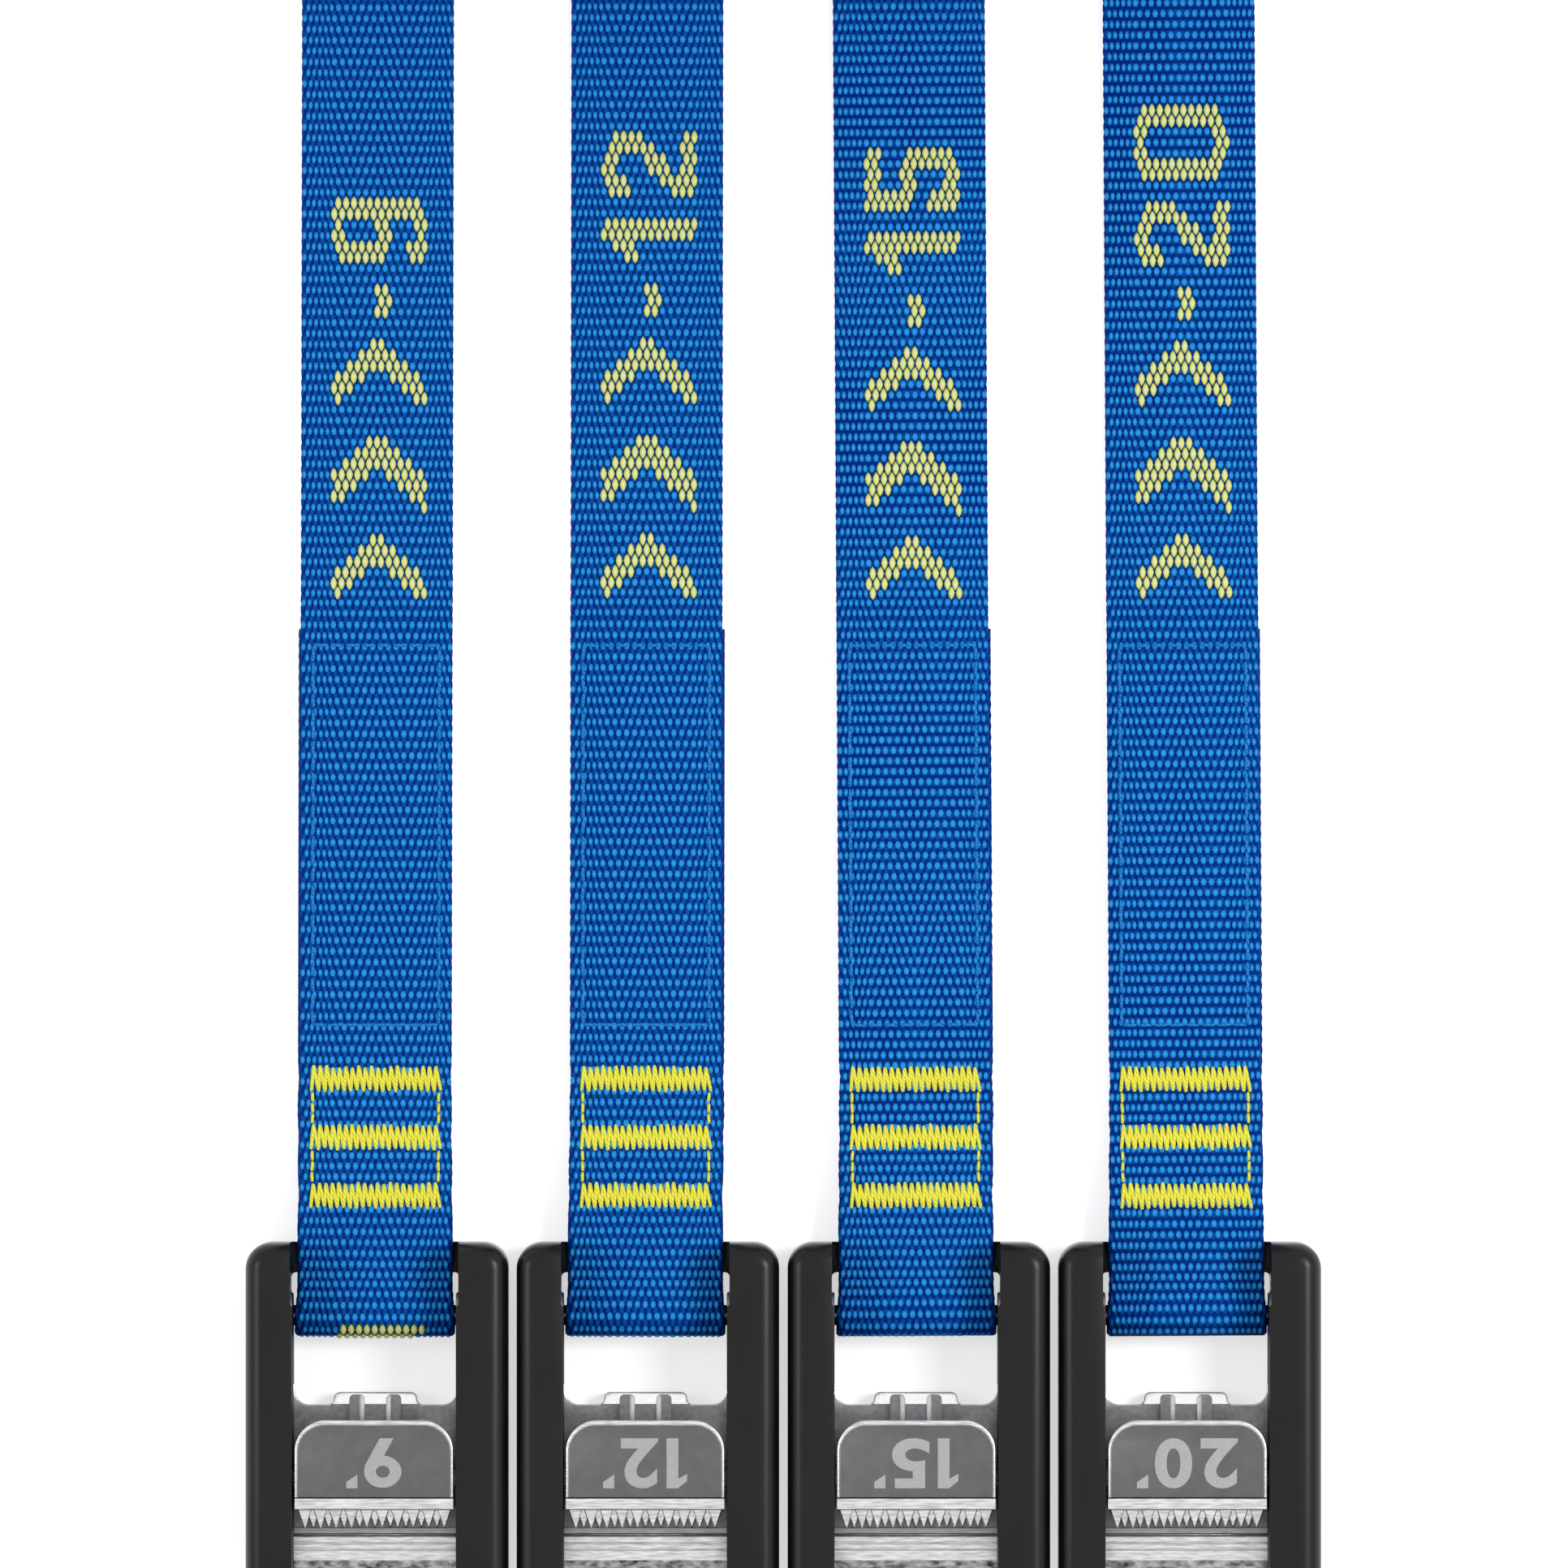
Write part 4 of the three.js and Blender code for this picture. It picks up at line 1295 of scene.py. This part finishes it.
@dataclass
class FrameCasting:
    """The zinc casting: two side plates, the cross bar, and the base with its tab, ribs and anvil."""

    fillet: float = 2.4
    slope: float = math.radians(25)
    tab_half: float = 6.9
    tab_corner: float = 1.0
    rib_x: float = 3.05
    rib_half: float = 1.25
    rib_rise: float = 1.2
    rib_length: float = 8.4
    overlap: float = 0.05
    horn_reach: float = 3.6
    plate_rear: float = 3.9
    plate_corner: float = 4.0
    lip_depth: float = 6.3
    # The fine steps of the clamping face: where each lies and how deep it is
    steps: ClassVar[tuple[Flat, ...]] = ((-48.72, 0.35), (-50.12, 0.22), (-51.2, 0.22))
    step_half: float = 0.13

    def build(self) -> bpy.types.Object:
        """Models the casting once, in the strap's own millimetres."""
        inner = METAL.half_opening
        outer = METAL.outer
        low, high = METAL.base_low, METAL.base_top
        half = inner + self.overlap
        base = Bench.slab("frame", half, (METAL.front_y, low), (METAL.base_y, high))
        tab_y = METAL.base_y + METAL.tab_reach
        tab = Bench.slab("tab", self.tab_half, (METAL.base_y - 2, low), (tab_y, high))
        Bench.weld(base, tab)
        for side in (-1, 1):
            near_x, far_x = sorted((side * (inner - self.overlap), side * (inner + 0.5)))
            horn = Bench.block(
                "horn", (near_x, METAL.base_y - 1, low), (far_x, METAL.base_y + self.horn_reach, high)
            )
            Bench.weld(base, horn)
        Bench.round_edges(base, lambda a, b: self.at_corner(a, b, self.tab_half), self.tab_corner, 6)
        Bench.round_edges(base, lambda a, b: self.at_corner(a, b, inner - self.overlap), self.fillet, 8)
        self.slope_tab(base, tab_y)
        Bench.soften(base, 0.35, 2, 50)
        self.add_anvil(base)
        for side in (-1, 1):
            Bench.weld(base, self.rib(side * self.rib_x, tab_y))
        for side in (-1, 1):
            near_x, far_x = sorted((side * inner, side * outer))
            plate = Bench.block(
                "plate", (near_x, METAL.front_y, METAL.lip + METAL.gap),
                (far_x, METAL.bar_y + self.plate_rear, Bumper.height - METAL.lip - METAL.gap),
            )
            Bench.round_edges(plate, lambda a, b: abs(a.x - b.x) > 1, self.plate_corner, 8)
            Bench.soften(plate, 0.25)
            Bench.weld(base, plate)
        bar = Bench.axle("bar", METAL.bar_radius, inner + 1, (METAL.bar_y, METAL.bar_z))
        Bench.weld(base, bar)
        hole = Bench.axle("hole", METAL.pin_radius + METAL.gap, outer + 1, METAL.pivot)
        Bench.cut(base, hole)
        Bench.take(base)
        bpy.ops.object.shade_smooth_by_angle(angle=math.radians(35))
        finishes = [CAST_SKIN, GROUND_METAL, ROUGH_CAST, WORN_BAND, PAINTED_SHADE_ZINC, PAINTED_HIGHLIGHT_ZINC]
        Bench.paint(base, finishes, self.finish_of)
        return base

    @staticmethod
    def at_corner(a: Vector, b: Vector, x: float) -> bool:
        """Picks the upright edges that stand at a distance from the middle, ahead of the horns' ends."""
        return upright(a, b) and near(abs(a.x), x) and METAL.base_y - 0.1 < a.y < METAL.base_y + 3

    def slope_tab(self, base: bpy.types.Object, tab_y: float) -> None:
        """Cuts the slope down the rear of the tab, which the webbing slides over."""
        tool = Bench.slab("slope", self.tab_half + 2, (-4.0, 0.0), (4.0, 3.0))
        Bench.take(tool)
        bpy.ops.object.mode_set(mode="EDIT")
        bpy.ops.mesh.select_all(action="SELECT")
        bpy.ops.transform.rotate(value=self.slope, orient_axis="X", center_override=(0, 0, 0))
        bpy.ops.transform.translate(value=(0.0, tab_y - 1.85, METAL.base_top - 0.02))
        bpy.ops.object.mode_set(mode="OBJECT")
        Bench.cut(base, tool)

    def rib(self, x: float, tab_y: float) -> bpy.types.Object:
        """Makes one of the two ribs that run back under the lever."""
        rib = Bench.block(
            "rib", (x - self.rib_half, tab_y - self.rib_length, METAL.base_top - 2.4),
            (x + self.rib_half, tab_y - 0.35, METAL.base_top + self.rib_rise),
        )
        top = METAL.base_top + self.rib_rise
        inner = x - math.copysign(self.rib_half, x)
        level = level_at(top)
        Bench.round_edges(rib, lambda a, b: near(a.x, inner) and near(b.x, inner) and level(a, b), 0.8, 1)
        Bench.round_edges(rib, lambda a, b: upright(a, b) and a.y > tab_y - 4, 0.7, 5)
        return rib

    def add_anvil(self, base: bpy.types.Object) -> None:
        """Adds the clamping face with its fine steps, and the lip that the webbing leaves over."""
        inner = METAL.half_opening + 0.04
        rear = METAL.nose_y
        face = Bench.slab("anvil", inner, (METAL.front_y + 1, 2.0), (rear, METAL.anvil_top))
        lip = Bench.slab(
            "lip", inner, (METAL.front_y, 2.0), (METAL.front_y + self.lip_depth, METAL.front_lip_top)
        )
        top = METAL.front_lip_top
        Bench.round_edges(lip, across_at(METAL.front_y, top), 1.9, 5)
        Bench.round_edges(lip, across_at(METAL.front_y + self.lip_depth, top), 0.5, 2)
        Bench.weld(face, lip)
        tips = METAL.pivot_y - METAL.tooth_tip - 0.1
        Bench.cut(face, Bench.slab("channel", inner + 1, (tips, METAL.anvil_top - 0.5), (rear + 1, 9.0)))
        for y, deep in self.steps:
            top = METAL.anvil_top if y > METAL.front_y + self.lip_depth else METAL.front_lip_top
            groove = Bench.slab(
                "groove", inner + 1, (y - self.step_half, top - deep), (y + self.step_half, 9.0)
            )
            Bench.cut(face, groove)
        Bench.soften(face, 0.06, 1, 50)
        Bench.weld(base, face)

    def finish_of(self, middle: Vector, normal: Vector) -> int:
        """Chooses the finish of a face, numbered as build lists them, painted shade and painted highlight
        among them.
        """
        skin, ground, rough, worn, painted_shade, painted_highlight = range(6)
        if abs(middle.x) > METAL.half_opening + 0.05 or middle.z < 2.2:
            return skin
        if middle.y < -52.6:
            return rough
        nose = METAL.nose_y
        if middle.y < nose:
            # Painted shade on the low faces ahead of the nose: the channel under the teeth and the bottoms
            # of the grooves
            if middle.z < METAL.anvil_top - 0.2:
                return painted_shade
            if near(middle.z, METAL.anvil_top, 0.05):
                return worn
            # Painted shade on faces ahead of the nose that do not face up
            return painted_shade if normal.z < 0.5 else ground
        sideways = math.hypot(normal.x, normal.y)
        if middle.z > METAL.base_top + 0.05:
            inward = normal.x * middle.x < 0 and abs(normal.x) > 0.6
            # Painted highlight on the ribs' inward rounded edges; painted shade on every other sloping or
            # upright face above the base
            if 0.2 < sideways:
                return painted_highlight if inward and normal.z > 0.5 else painted_shade
            return skin
        if middle.y < METAL.base_y - 1 or sideways < 0.2:
            return skin
        # Painted highlight on the tab's slope and the base's gentler rounded edges; painted shade on its
        # steeper faces
        return painted_highlight if sideways < 0.6 else painted_shade


@dataclass
class CamLever:
    """The lever: a thumb plate behind the pin, and two rows of teeth ahead of it."""

    reach: float = 9.6
    corner: float = 5.0
    plate: float = 2.0
    plate_front: float = 3.3
    margin: float = 0.75
    side_margin: float = 0.4
    recess: float = 0.4
    pocket_half: float = 4.125
    coil_room: float = 1.5
    tooth_depth: float = 3.3
    tooth_flank: float = 0.16
    # The undersides of the two rows of teeth, and how far each is shifted, as a share of the pitch
    rows: ClassVar[tuple[Flat, ...]] = ((9.0, 0.0), (5.0, 0.5))

    def build(self) -> bpy.types.Object:
        """Models the lever once, in the strap's own millimetres."""
        half, top = METAL.half_lever, METAL.plate_top
        rear = METAL.pivot_y + self.reach
        front = METAL.pivot_y - self.plate_front
        under = top - self.plate
        plate = Bench.slab("lever", half, (front, under), (rear, top))
        Bench.round_edges(plate, lambda a, b: upright(a, b) and near(a.y, rear), self.corner, 12)
        inside = half - self.side_margin
        recess = Bench.slab("recess", inside, (front - 1, top - self.recess), (rear - self.margin, top + 1))
        deep = self.corner - self.side_margin
        Bench.round_edges(recess, lambda a, b: upright(a, b) and a.y > front, deep, 12)
        Bench.cut(plate, recess)
        Bench.soften(plate, 0.18, 3, 50)
        nose = METAL.nose_y
        web = Bench.slab(
            "web", half, (nose, METAL.pivot_z), (METAL.pivot_y + METAL.hub_radius, under + 0.4)
        )
        strip = Bench.slab("strip", half, (nose, 5.0), (front + 0.6, top - 1.0))
        Bench.round_edges(strip, across_at(nose, top - 1.0), 0.35, 3)
        hub = Bench.axle("hub", METAL.hub_radius, half, METAL.pivot, 48)
        for part in (web, strip, hub):
            Bench.weld(plate, part)
        groove = Bench.slab("groove", half + 1, (front - 0.1, top - 1.5), (front + 0.15, top + 1))
        Bench.cut(plate, groove)
        coil = METAL.pin_radius + self.coil_room
        pocket = Bench.slab(
            "pocket", self.pocket_half, (METAL.pivot_y - coil, 0.0), (rear + 1, METAL.pivot_z + coil)
        )
        slot = Bench.slab("slot", self.pocket_half, (METAL.pivot_y - 1, 0.0), (rear + 1, under))
        bore = Bench.axle("bore", METAL.pin_radius + METAL.gap, half + 1, METAL.pivot)
        for tool in (pocket, slot, bore):
            Bench.cut(plate, tool)
        teeth = [tooth for row in self.rows for tooth in self.teeth(*row)]
        lever = Bench.join([plate, *teeth], "lever")
        Bench.take(lever)
        bpy.ops.object.shade_smooth_by_angle(angle=math.radians(35))
        Bench.paint(lever, [LEVER_FACE, GROUND_METAL, PAINTED_SHADE_ZINC], self.finish_of)
        return lever

    def teeth(self, bottom: float, offset: float) -> list[bpy.types.Object]:
        """Makes one row of pointed teeth.

        Args:
            bottom: the height of the row's underside.
            offset: how far the row is shifted, as a share of the pitch.
        """
        root = METAL.nose_y + 0.3
        tip = METAL.pivot_y - METAL.tooth_tip
        half = METAL.tooth_pitch / 2 - 0.01
        made = []
        for i in range(METAL.tooth_count):
            x = (i - (METAL.tooth_count - 1) / 2 + offset) * METAL.tooth_pitch
            if x > METAL.half_lever - half:
                continue
            tooth = Bench.block(
                "tooth", (x - half, tip, bottom), (x + half, root, bottom + self.tooth_depth)
            )
            Bench.take(tooth)
            bpy.ops.object.mode_set(mode="EDIT")
            bpy.ops.mesh.select_all(action="DESELECT")
            mesh = bmesh.from_edit_mesh(tooth.data)
            for corner in mesh.verts:
                corner.select_set(near(corner.co.y, tip))
            mesh.select_flush(True)
            bmesh.update_edit_mesh(tooth.data)
            point = (x, tip, bottom + 1.2)
            bpy.ops.transform.resize(value=(0.06, 1.0, 0.3), center_override=point)
            bpy.ops.mesh.select_all(action="DESELECT")
            mesh = bmesh.from_edit_mesh(tooth.data)
            for edge in mesh.edges:
                a, b = (v.co for v in edge.verts)
                edge.select_set(near(a.x, b.x, 1.4) and a.z > bottom + 1.3 and abs(a.y - b.y) > 1)
            bmesh.update_edit_mesh(tooth.data)
            bpy.ops.mesh.bevel(offset=self.tooth_flank, segments=1, profile=0.5, affect="EDGES")
            bpy.ops.object.mode_set(mode="OBJECT")
            made.append(tooth)
        return made

    def finish_of(self, middle: Vector, normal: Vector) -> int:
        """Chooses the blasted face, ground metal, or painted shade on the teeth's flanks, in the gaps and
        in the groove, for a face of the lever.
        """
        blasted, ground, painted_shade = range(3)
        nose = METAL.nose_y
        front = METAL.pivot_y - self.plate_front
        # Ahead of the strip, faces that face up are ground metal, and the teeth's flanks and undersides
        # take painted shade
        if middle.y < nose - 0.05:
            return ground if normal.z > 0.5 else painted_shade
        # Painted shade along the strip's rounded front edge, where it meets the teeth
        if middle.z > 14 and near(middle.y, nose, 0.4) and 0.1 < normal.z < 0.95:
            return painted_shade
        # Painted shade in the groove between the thumb plate and the strip
        if near(middle.y, front, 0.16) and middle.z < METAL.plate_top - 1.2:
            return painted_shade
        recessed = near(middle.z, METAL.plate_top - self.recess, 0.1) and normal.z > 0.8
        hidden = middle.z < METAL.plate_top - self.plate - 0.1 and middle.y > nose + 0.1
        return blasted if recessed or hidden else ground


@dataclass
class LeverMark:
    """The strap's length in feet, etched into the thumb plate to be read from the front."""

    feet: int
    digit_height: float = 8.3
    digit_width: float = 6.2
    one_width: float = 3.4
    space: float = 1.4
    foot_width: float = 1.85
    foot_height: float = 2.3
    foot_gap: float = 1.1
    middle_y: float = -36.5
    depth: float = 0.03
    flag_width: float = 1.55
    flag_slant: float = 1.2
    nine_ring: float = 3.1
    nine_hole: float = 1.15
    nine_squash: float = 0.86
    nine_lean: float = 2.55

    def build(self) -> bpy.types.Object:
        """Models the digits and the foot mark, in the strap's own millimetres."""
        face = METAL.plate_top - CamLever.recess
        digits = str(self.feet)
        widths = [self.one_width if d == "1" else self.digit_width for d in digits]
        total = sum(widths) + self.space * (len(digits) - 1) + self.foot_gap + self.foot_width
        pieces = []
        x = total / 2
        for digit, width in zip(digits, widths):
            pieces.append(self.digit(digit, x - width, x, face))
            x -= width + self.space
        x += self.space - self.foot_gap
        pieces.append(self.foot_mark(x - self.foot_width, x, face))
        mark = Bench.join(pieces, "mark")
        mark.data.materials.clear()
        mark.data.materials.append(LEVER_MARK.material())
        return mark

    def digit(self, digit: str, left: float, right: float, face: float) -> bpy.types.Object:
        """Makes one bold digit that fills its place, turned to be read from the front."""
        if digit == "1":
            return self.one(left, right, face)
        if digit == "9":
            return self.nine((left + right) / 2, face)
        bpy.ops.object.select_all(action="DESELECT")
        bpy.ops.object.text_add(location=(0.0, 0.0, 0.0))
        piece = bpy.context.object
        piece.data.body = digit
        piece.data.size = 10.0
        piece.data.offset = 0.3
        piece.data.extrude = self.depth
        bpy.ops.object.convert(target="MESH")
        piece = bpy.context.object
        xs = [v.co.x for v in piece.data.vertices]
        ys = [v.co.y for v in piece.data.vertices]
        middle = Vector(((min(xs) + max(xs)) / 2, (min(ys) + max(ys)) / 2, 0.0))
        wide = (right - left) / (max(xs) - min(xs))
        tall = self.digit_height / (max(ys) - min(ys))
        turned = Matrix.Rotation(math.pi, 4, "Z") @ Matrix.Diagonal((wide, tall, 1.0, 1.0))
        place = Vector(((left + right) / 2, self.middle_y, face))
        piece.data.transform(Matrix.Translation(place) @ turned @ Matrix.Translation(-middle))
        return piece

    def one(self, left: float, right: float, face: float) -> bpy.types.Object:
        """Makes a bold 1, a bar with a short slanting flag."""
        foot, head = self.middle_y + self.digit_height / 2, self.middle_y - self.digit_height / 2
        low, high = face - self.depth, face + self.depth
        flag = Bench.block(
            "flag", (right - self.flag_width, head, low), (right, head + self.flag_slant, high)
        )
        for corner in flag.data.vertices:
            if corner.co.x > right - 0.5:
                corner.co.y += self.flag_slant
            elif corner.co.y > head + 0.5:
                corner.co.y += 0.35
        bar = Bench.block("bar", (left, head, low), (right - 1.45, foot, high))
        return Bench.weld(bar, flag)

    def nine(self, x: float, face: float) -> bpy.types.Object:
        """Makes a bold 9, a ring with a slanting leg."""
        low, high = face - self.depth, face + self.depth
        y = self.middle_y - 1.4
        ring = Bench.rod("ring", self.nine_ring, (x, y, low), (x, y, high), 48)
        Bench.cut(ring, Bench.rod("hole", self.nine_hole, (x, y, low - 1), (x, y, high + 1), 32))
        for corner in ring.data.vertices:
            corner.co.y = y + (corner.co.y - y) * self.nine_squash
        top = self.middle_y + self.digit_height / 2
        leg = Bench.block("leg", (x - 0.5, y + 0.9, low), (x + 1.8, top, high))
        for corner in leg.data.vertices:
            if corner.co.y < y + 2:
                corner.co.x -= self.nine_lean
        return Bench.weld(ring, leg)

    def foot_mark(self, left: float, right: float, face: float) -> bpy.types.Object:
        """Makes the foot mark, a short block with one slanting end."""
        foot = self.middle_y - self.digit_height / 2
        mark = Bench.block(
            "foot", (left, foot, face - self.depth), (right, foot + self.foot_height, face + self.depth)
        )
        for corner in mark.data.vertices:
            if corner.co.x < (left + right) / 2 and corner.co.y > foot + 1:
                corner.co.y -= self.foot_height * 0.55
        return mark


@dataclass
class Spring:
    """The torsion spring on the pin, one leg on the base and one under the thumb plate."""

    wire: float = 0.45
    turns: int = 4
    pitch: float = 1.25
    slope: float = math.radians(25)
    leg_room: float = 0.05

    def build(self) -> bpy.types.Object:
        """Models the spring once, in the strap's own millimetres."""
        radius = METAL.pin_radius + METAL.gap + self.wire
        half = self.turns * self.pitch / 2
        start = -math.pi / 2 - self.slope
        end = -(self.turns + 1) * 2 * math.pi + math.pi / 2 + self.slope
        rise = METAL.plate_top - METAL.pivot_z - CamLever.plate - self.leg_room
        leg = (rise - (radius + self.wire) * math.cos(self.slope)) / math.sin(self.slope)
        line = [self.point(-half, start, -leg, radius), self.point(-half, start, -leg / 2, radius)]
        steps = round((start - end) / (2 * math.pi) * 16)
        for i in range(steps + 1):
            share = i / steps
            line.append(self.point(-half + 2 * half * share, start + (end - start) * share, 0.0, radius))
        line += [self.point(half, end, leg / 2, radius), self.point(half, end, leg, radius)]
        spring = Bench.wire("spring", [line], self.wire, True)
        spring.data.materials.append(SPRING_STEEL.material())
        return spring

    @staticmethod
    def point(x: float, angle: float, along: float, radius: float) -> Point:
        """Gives a point on the coil, moved on along the wire's own direction there."""
        y = METAL.pivot_y + radius * math.cos(angle) + along * math.sin(angle)
        z = METAL.pivot_z + radius * math.sin(angle) - along * math.cos(angle)
        return x, y, z


@dataclass
class Buckle:
    """The pieces of the buckle, modelled once and set down in every strap."""

    bumper: bpy.types.Object
    casting: bpy.types.Object
    lever: bpy.types.Object
    pin: bpy.types.Object
    spring: bpy.types.Object

    @classmethod
    def model(cls) -> "Buckle":
        """Models one of each piece."""
        bumper = Bumper().build()
        bumper.data.materials.append(RUBBER.material())
        end = METAL.outer
        pin = Bench.axle("pin", METAL.pin_radius, end, METAL.pivot, 40)
        Bench.round_edges(pin, lambda a, b: near(a.x, b.x) and abs(a.x) > end - 0.1, 0.35, 3)
        Bench.soften(pin, 0.02, 1)
        pin.data.materials.append(PIN_STEEL.material())
        return cls(bumper, FrameCasting().build(), CamLever().build(), pin, Spring().build())

    def set_down(self, place: Place) -> None:
        """Sets down a copy of every piece in one strap."""
        tag = place.tag
        matrix = place.matrix(False)
        riders = (
            (self.bumper, "bumper", "buckle", Slot.RUBBER),
            (self.casting, "frame", "buckle", Slot.ZINC),
            (self.lever, "cam_lever", "cam", Slot.LEVER),
            (self.pin, "pivot_pin", "buckle", Slot.PIN),
        )
        for model, node, body, slot in riders:
            piece = Bench.copy_to(model, f"{node}_piece_{tag}", matrix)
            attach(piece, place.body(body))
            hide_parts(f"{node}_{tag}")
        mark = LeverMark(place.feet).build()
        mark.name = f"lever_mark_{tag}"
        mark.data.transform(matrix)
        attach(mark, place.body("cam"))
        spring = Bench.copy_to(self.spring, f"torsion_spring_piece_{tag}", matrix)
        place.body("buckle")
        place.body("cam")
        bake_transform(spring)
        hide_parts(f"torsion_spring_{tag}")

    def put_away(self) -> None:
        """Removes the models once every strap has its copies."""
        for model in (self.bumper, self.casting, self.lever, self.pin, self.spring):
            bpy.data.objects.remove(model)


# ---- The stage -----------------------------------------------------------------------------------


@dataclass(frozen=True)
class Stage:
    """A pale floor and backdrop, soft studio light and the camera."""

    centre: Point = (0.0001, -0.05615, 0.005)
    field: float = 0.261
    lens: float = 500.0
    sensor: float = 36.0
    glow: float = 0.6
    ambient: float = 0.55

    def build(self) -> None:
        """Builds the floor, the light and the camera."""
        scene = bpy.context.scene
        scene.view_settings.view_transform = "Standard"
        self.floor()
        self.world(scene)
        self.lamp("key", (0.82, 0.15, 1.1), 0.4, 7.0)
        self.lamp("fill", (-1.15, 0.1, 0.95), 0.5, 3.4)
        camera = bpy.data.objects.new("camera", bpy.data.cameras.new("camera"))
        scene.collection.objects.link(camera)
        camera.data.lens = self.lens
        camera.data.sensor_width = self.sensor
        distance = self.field * self.lens / self.sensor
        camera.location = Vector(self.centre) + Vector((0.0, 0.0, distance))
        camera.data.clip_end = 100.0
        scene.camera = camera

    def floor(self) -> None:
        """Lays a white floor that clears to white to the eye but keeps the shadows."""
        bpy.ops.object.select_all(action="DESELECT")
        bpy.ops.mesh.primitive_plane_add(size=6.0, location=(0.0, 0.0, -0.0003))
        floor = bpy.context.object
        floor.name = "floor"
        material = bpy.data.materials.new("studio_paper")
        material.use_nodes = True
        tree = material.node_tree
        surface = tree.nodes["Principled BSDF"]
        feed(tree, surface, {"Base Color": to_linear("#f4f4f4"), "Roughness": 0.9})
        feed(tree, surface, {"Specular IOR Level": 0.0})
        share = add_node(tree, "ShaderNodeMath", {0: self.seen(tree), 1: self.glow}, operation="MULTIPLY")
        glow = add_node(tree, "ShaderNodeEmission", {"Color": WHITE, "Strength": share.outputs[0]})
        both = add_node(tree, "ShaderNodeAddShader", {0: surface.outputs[0], 1: glow.outputs[0]})
        tree.links.new(both.outputs[0], tree.nodes["Material Output"].inputs["Surface"])
        floor.data.materials.append(material)

    @staticmethod
    def seen(tree: bpy.types.NodeTree) -> bpy.types.NodeSocket:
        """Gives 1 for rays that see the backdrop straight, in metal or through glass, and 0 for others."""
        rays = add_node(tree, "ShaderNodeLightPath")
        level = rays.outputs["Is Camera Ray"]
        for kind in ("Is Glossy Ray", "Is Transmission Ray"):
            looks = add_node(
                tree, "ShaderNodeMath", {0: level, 1: rays.outputs[kind]}, operation="MAXIMUM"
            )
            level = looks.outputs[0]
        return level

    @staticmethod
    def world(scene: bpy.types.Scene) -> None:
        """Surrounds the set with white to the eye and a softer grey for the light that it gives."""
        world = bpy.data.worlds.new("studio")
        scene.world = world
        world.use_nodes = True
        tree = world.node_tree
        level = add_node(tree, "ShaderNodeMapRange", {0: Stage.seen(tree), 3: Stage.ambient, 4: 1.0})
        feed(tree, tree.nodes["Background"], {"Color": WHITE, "Strength": level.outputs[0]})

    def lamp(self, name: str, place: Point, size: float, power: float) -> None:
        """Hangs a soft square lamp that faces the set."""
        data = bpy.data.lights.new(name, "AREA")
        data.size = size
        data.energy = power
        lamp = bpy.data.objects.new(name, data)
        lamp.location = Vector(self.centre) + Vector(place)
        lamp.rotation_euler = (-Vector(place)).to_track_quat("-Z", "Y").to_euler()
        bpy.context.scene.collection.objects.link(lamp)


def main() -> None:
    """Builds the set, strap by strap."""
    logging.basicConfig(level=logging.INFO, format="%(message)s", stream=sys.stdout)
    Stage().build()
    buckle = Buckle.model()
    LOG.info("buckle modelled")
    tags = sorted(
        (name[len("frame_"):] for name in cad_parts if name.startswith("frame_")),
        key=lambda tag: int(tag[:-2]),
    )
    for tag in tags:
        place = Place.read(tag)
        webbing = Webbing(place)
        piece = webbing.build()
        LOG.info("%s: %d faces, %.0f mm long", piece.name, len(piece.data.polygons), webbing.length())
        Stitching(webbing).build()
        RollTie(place).build()
        buckle.set_down(place)
        LOG.info("strap %s set down, turned %.2f degrees", tag, math.degrees(place.turn))
    buckle.put_away()


if __name__ == "__main__":
    main()
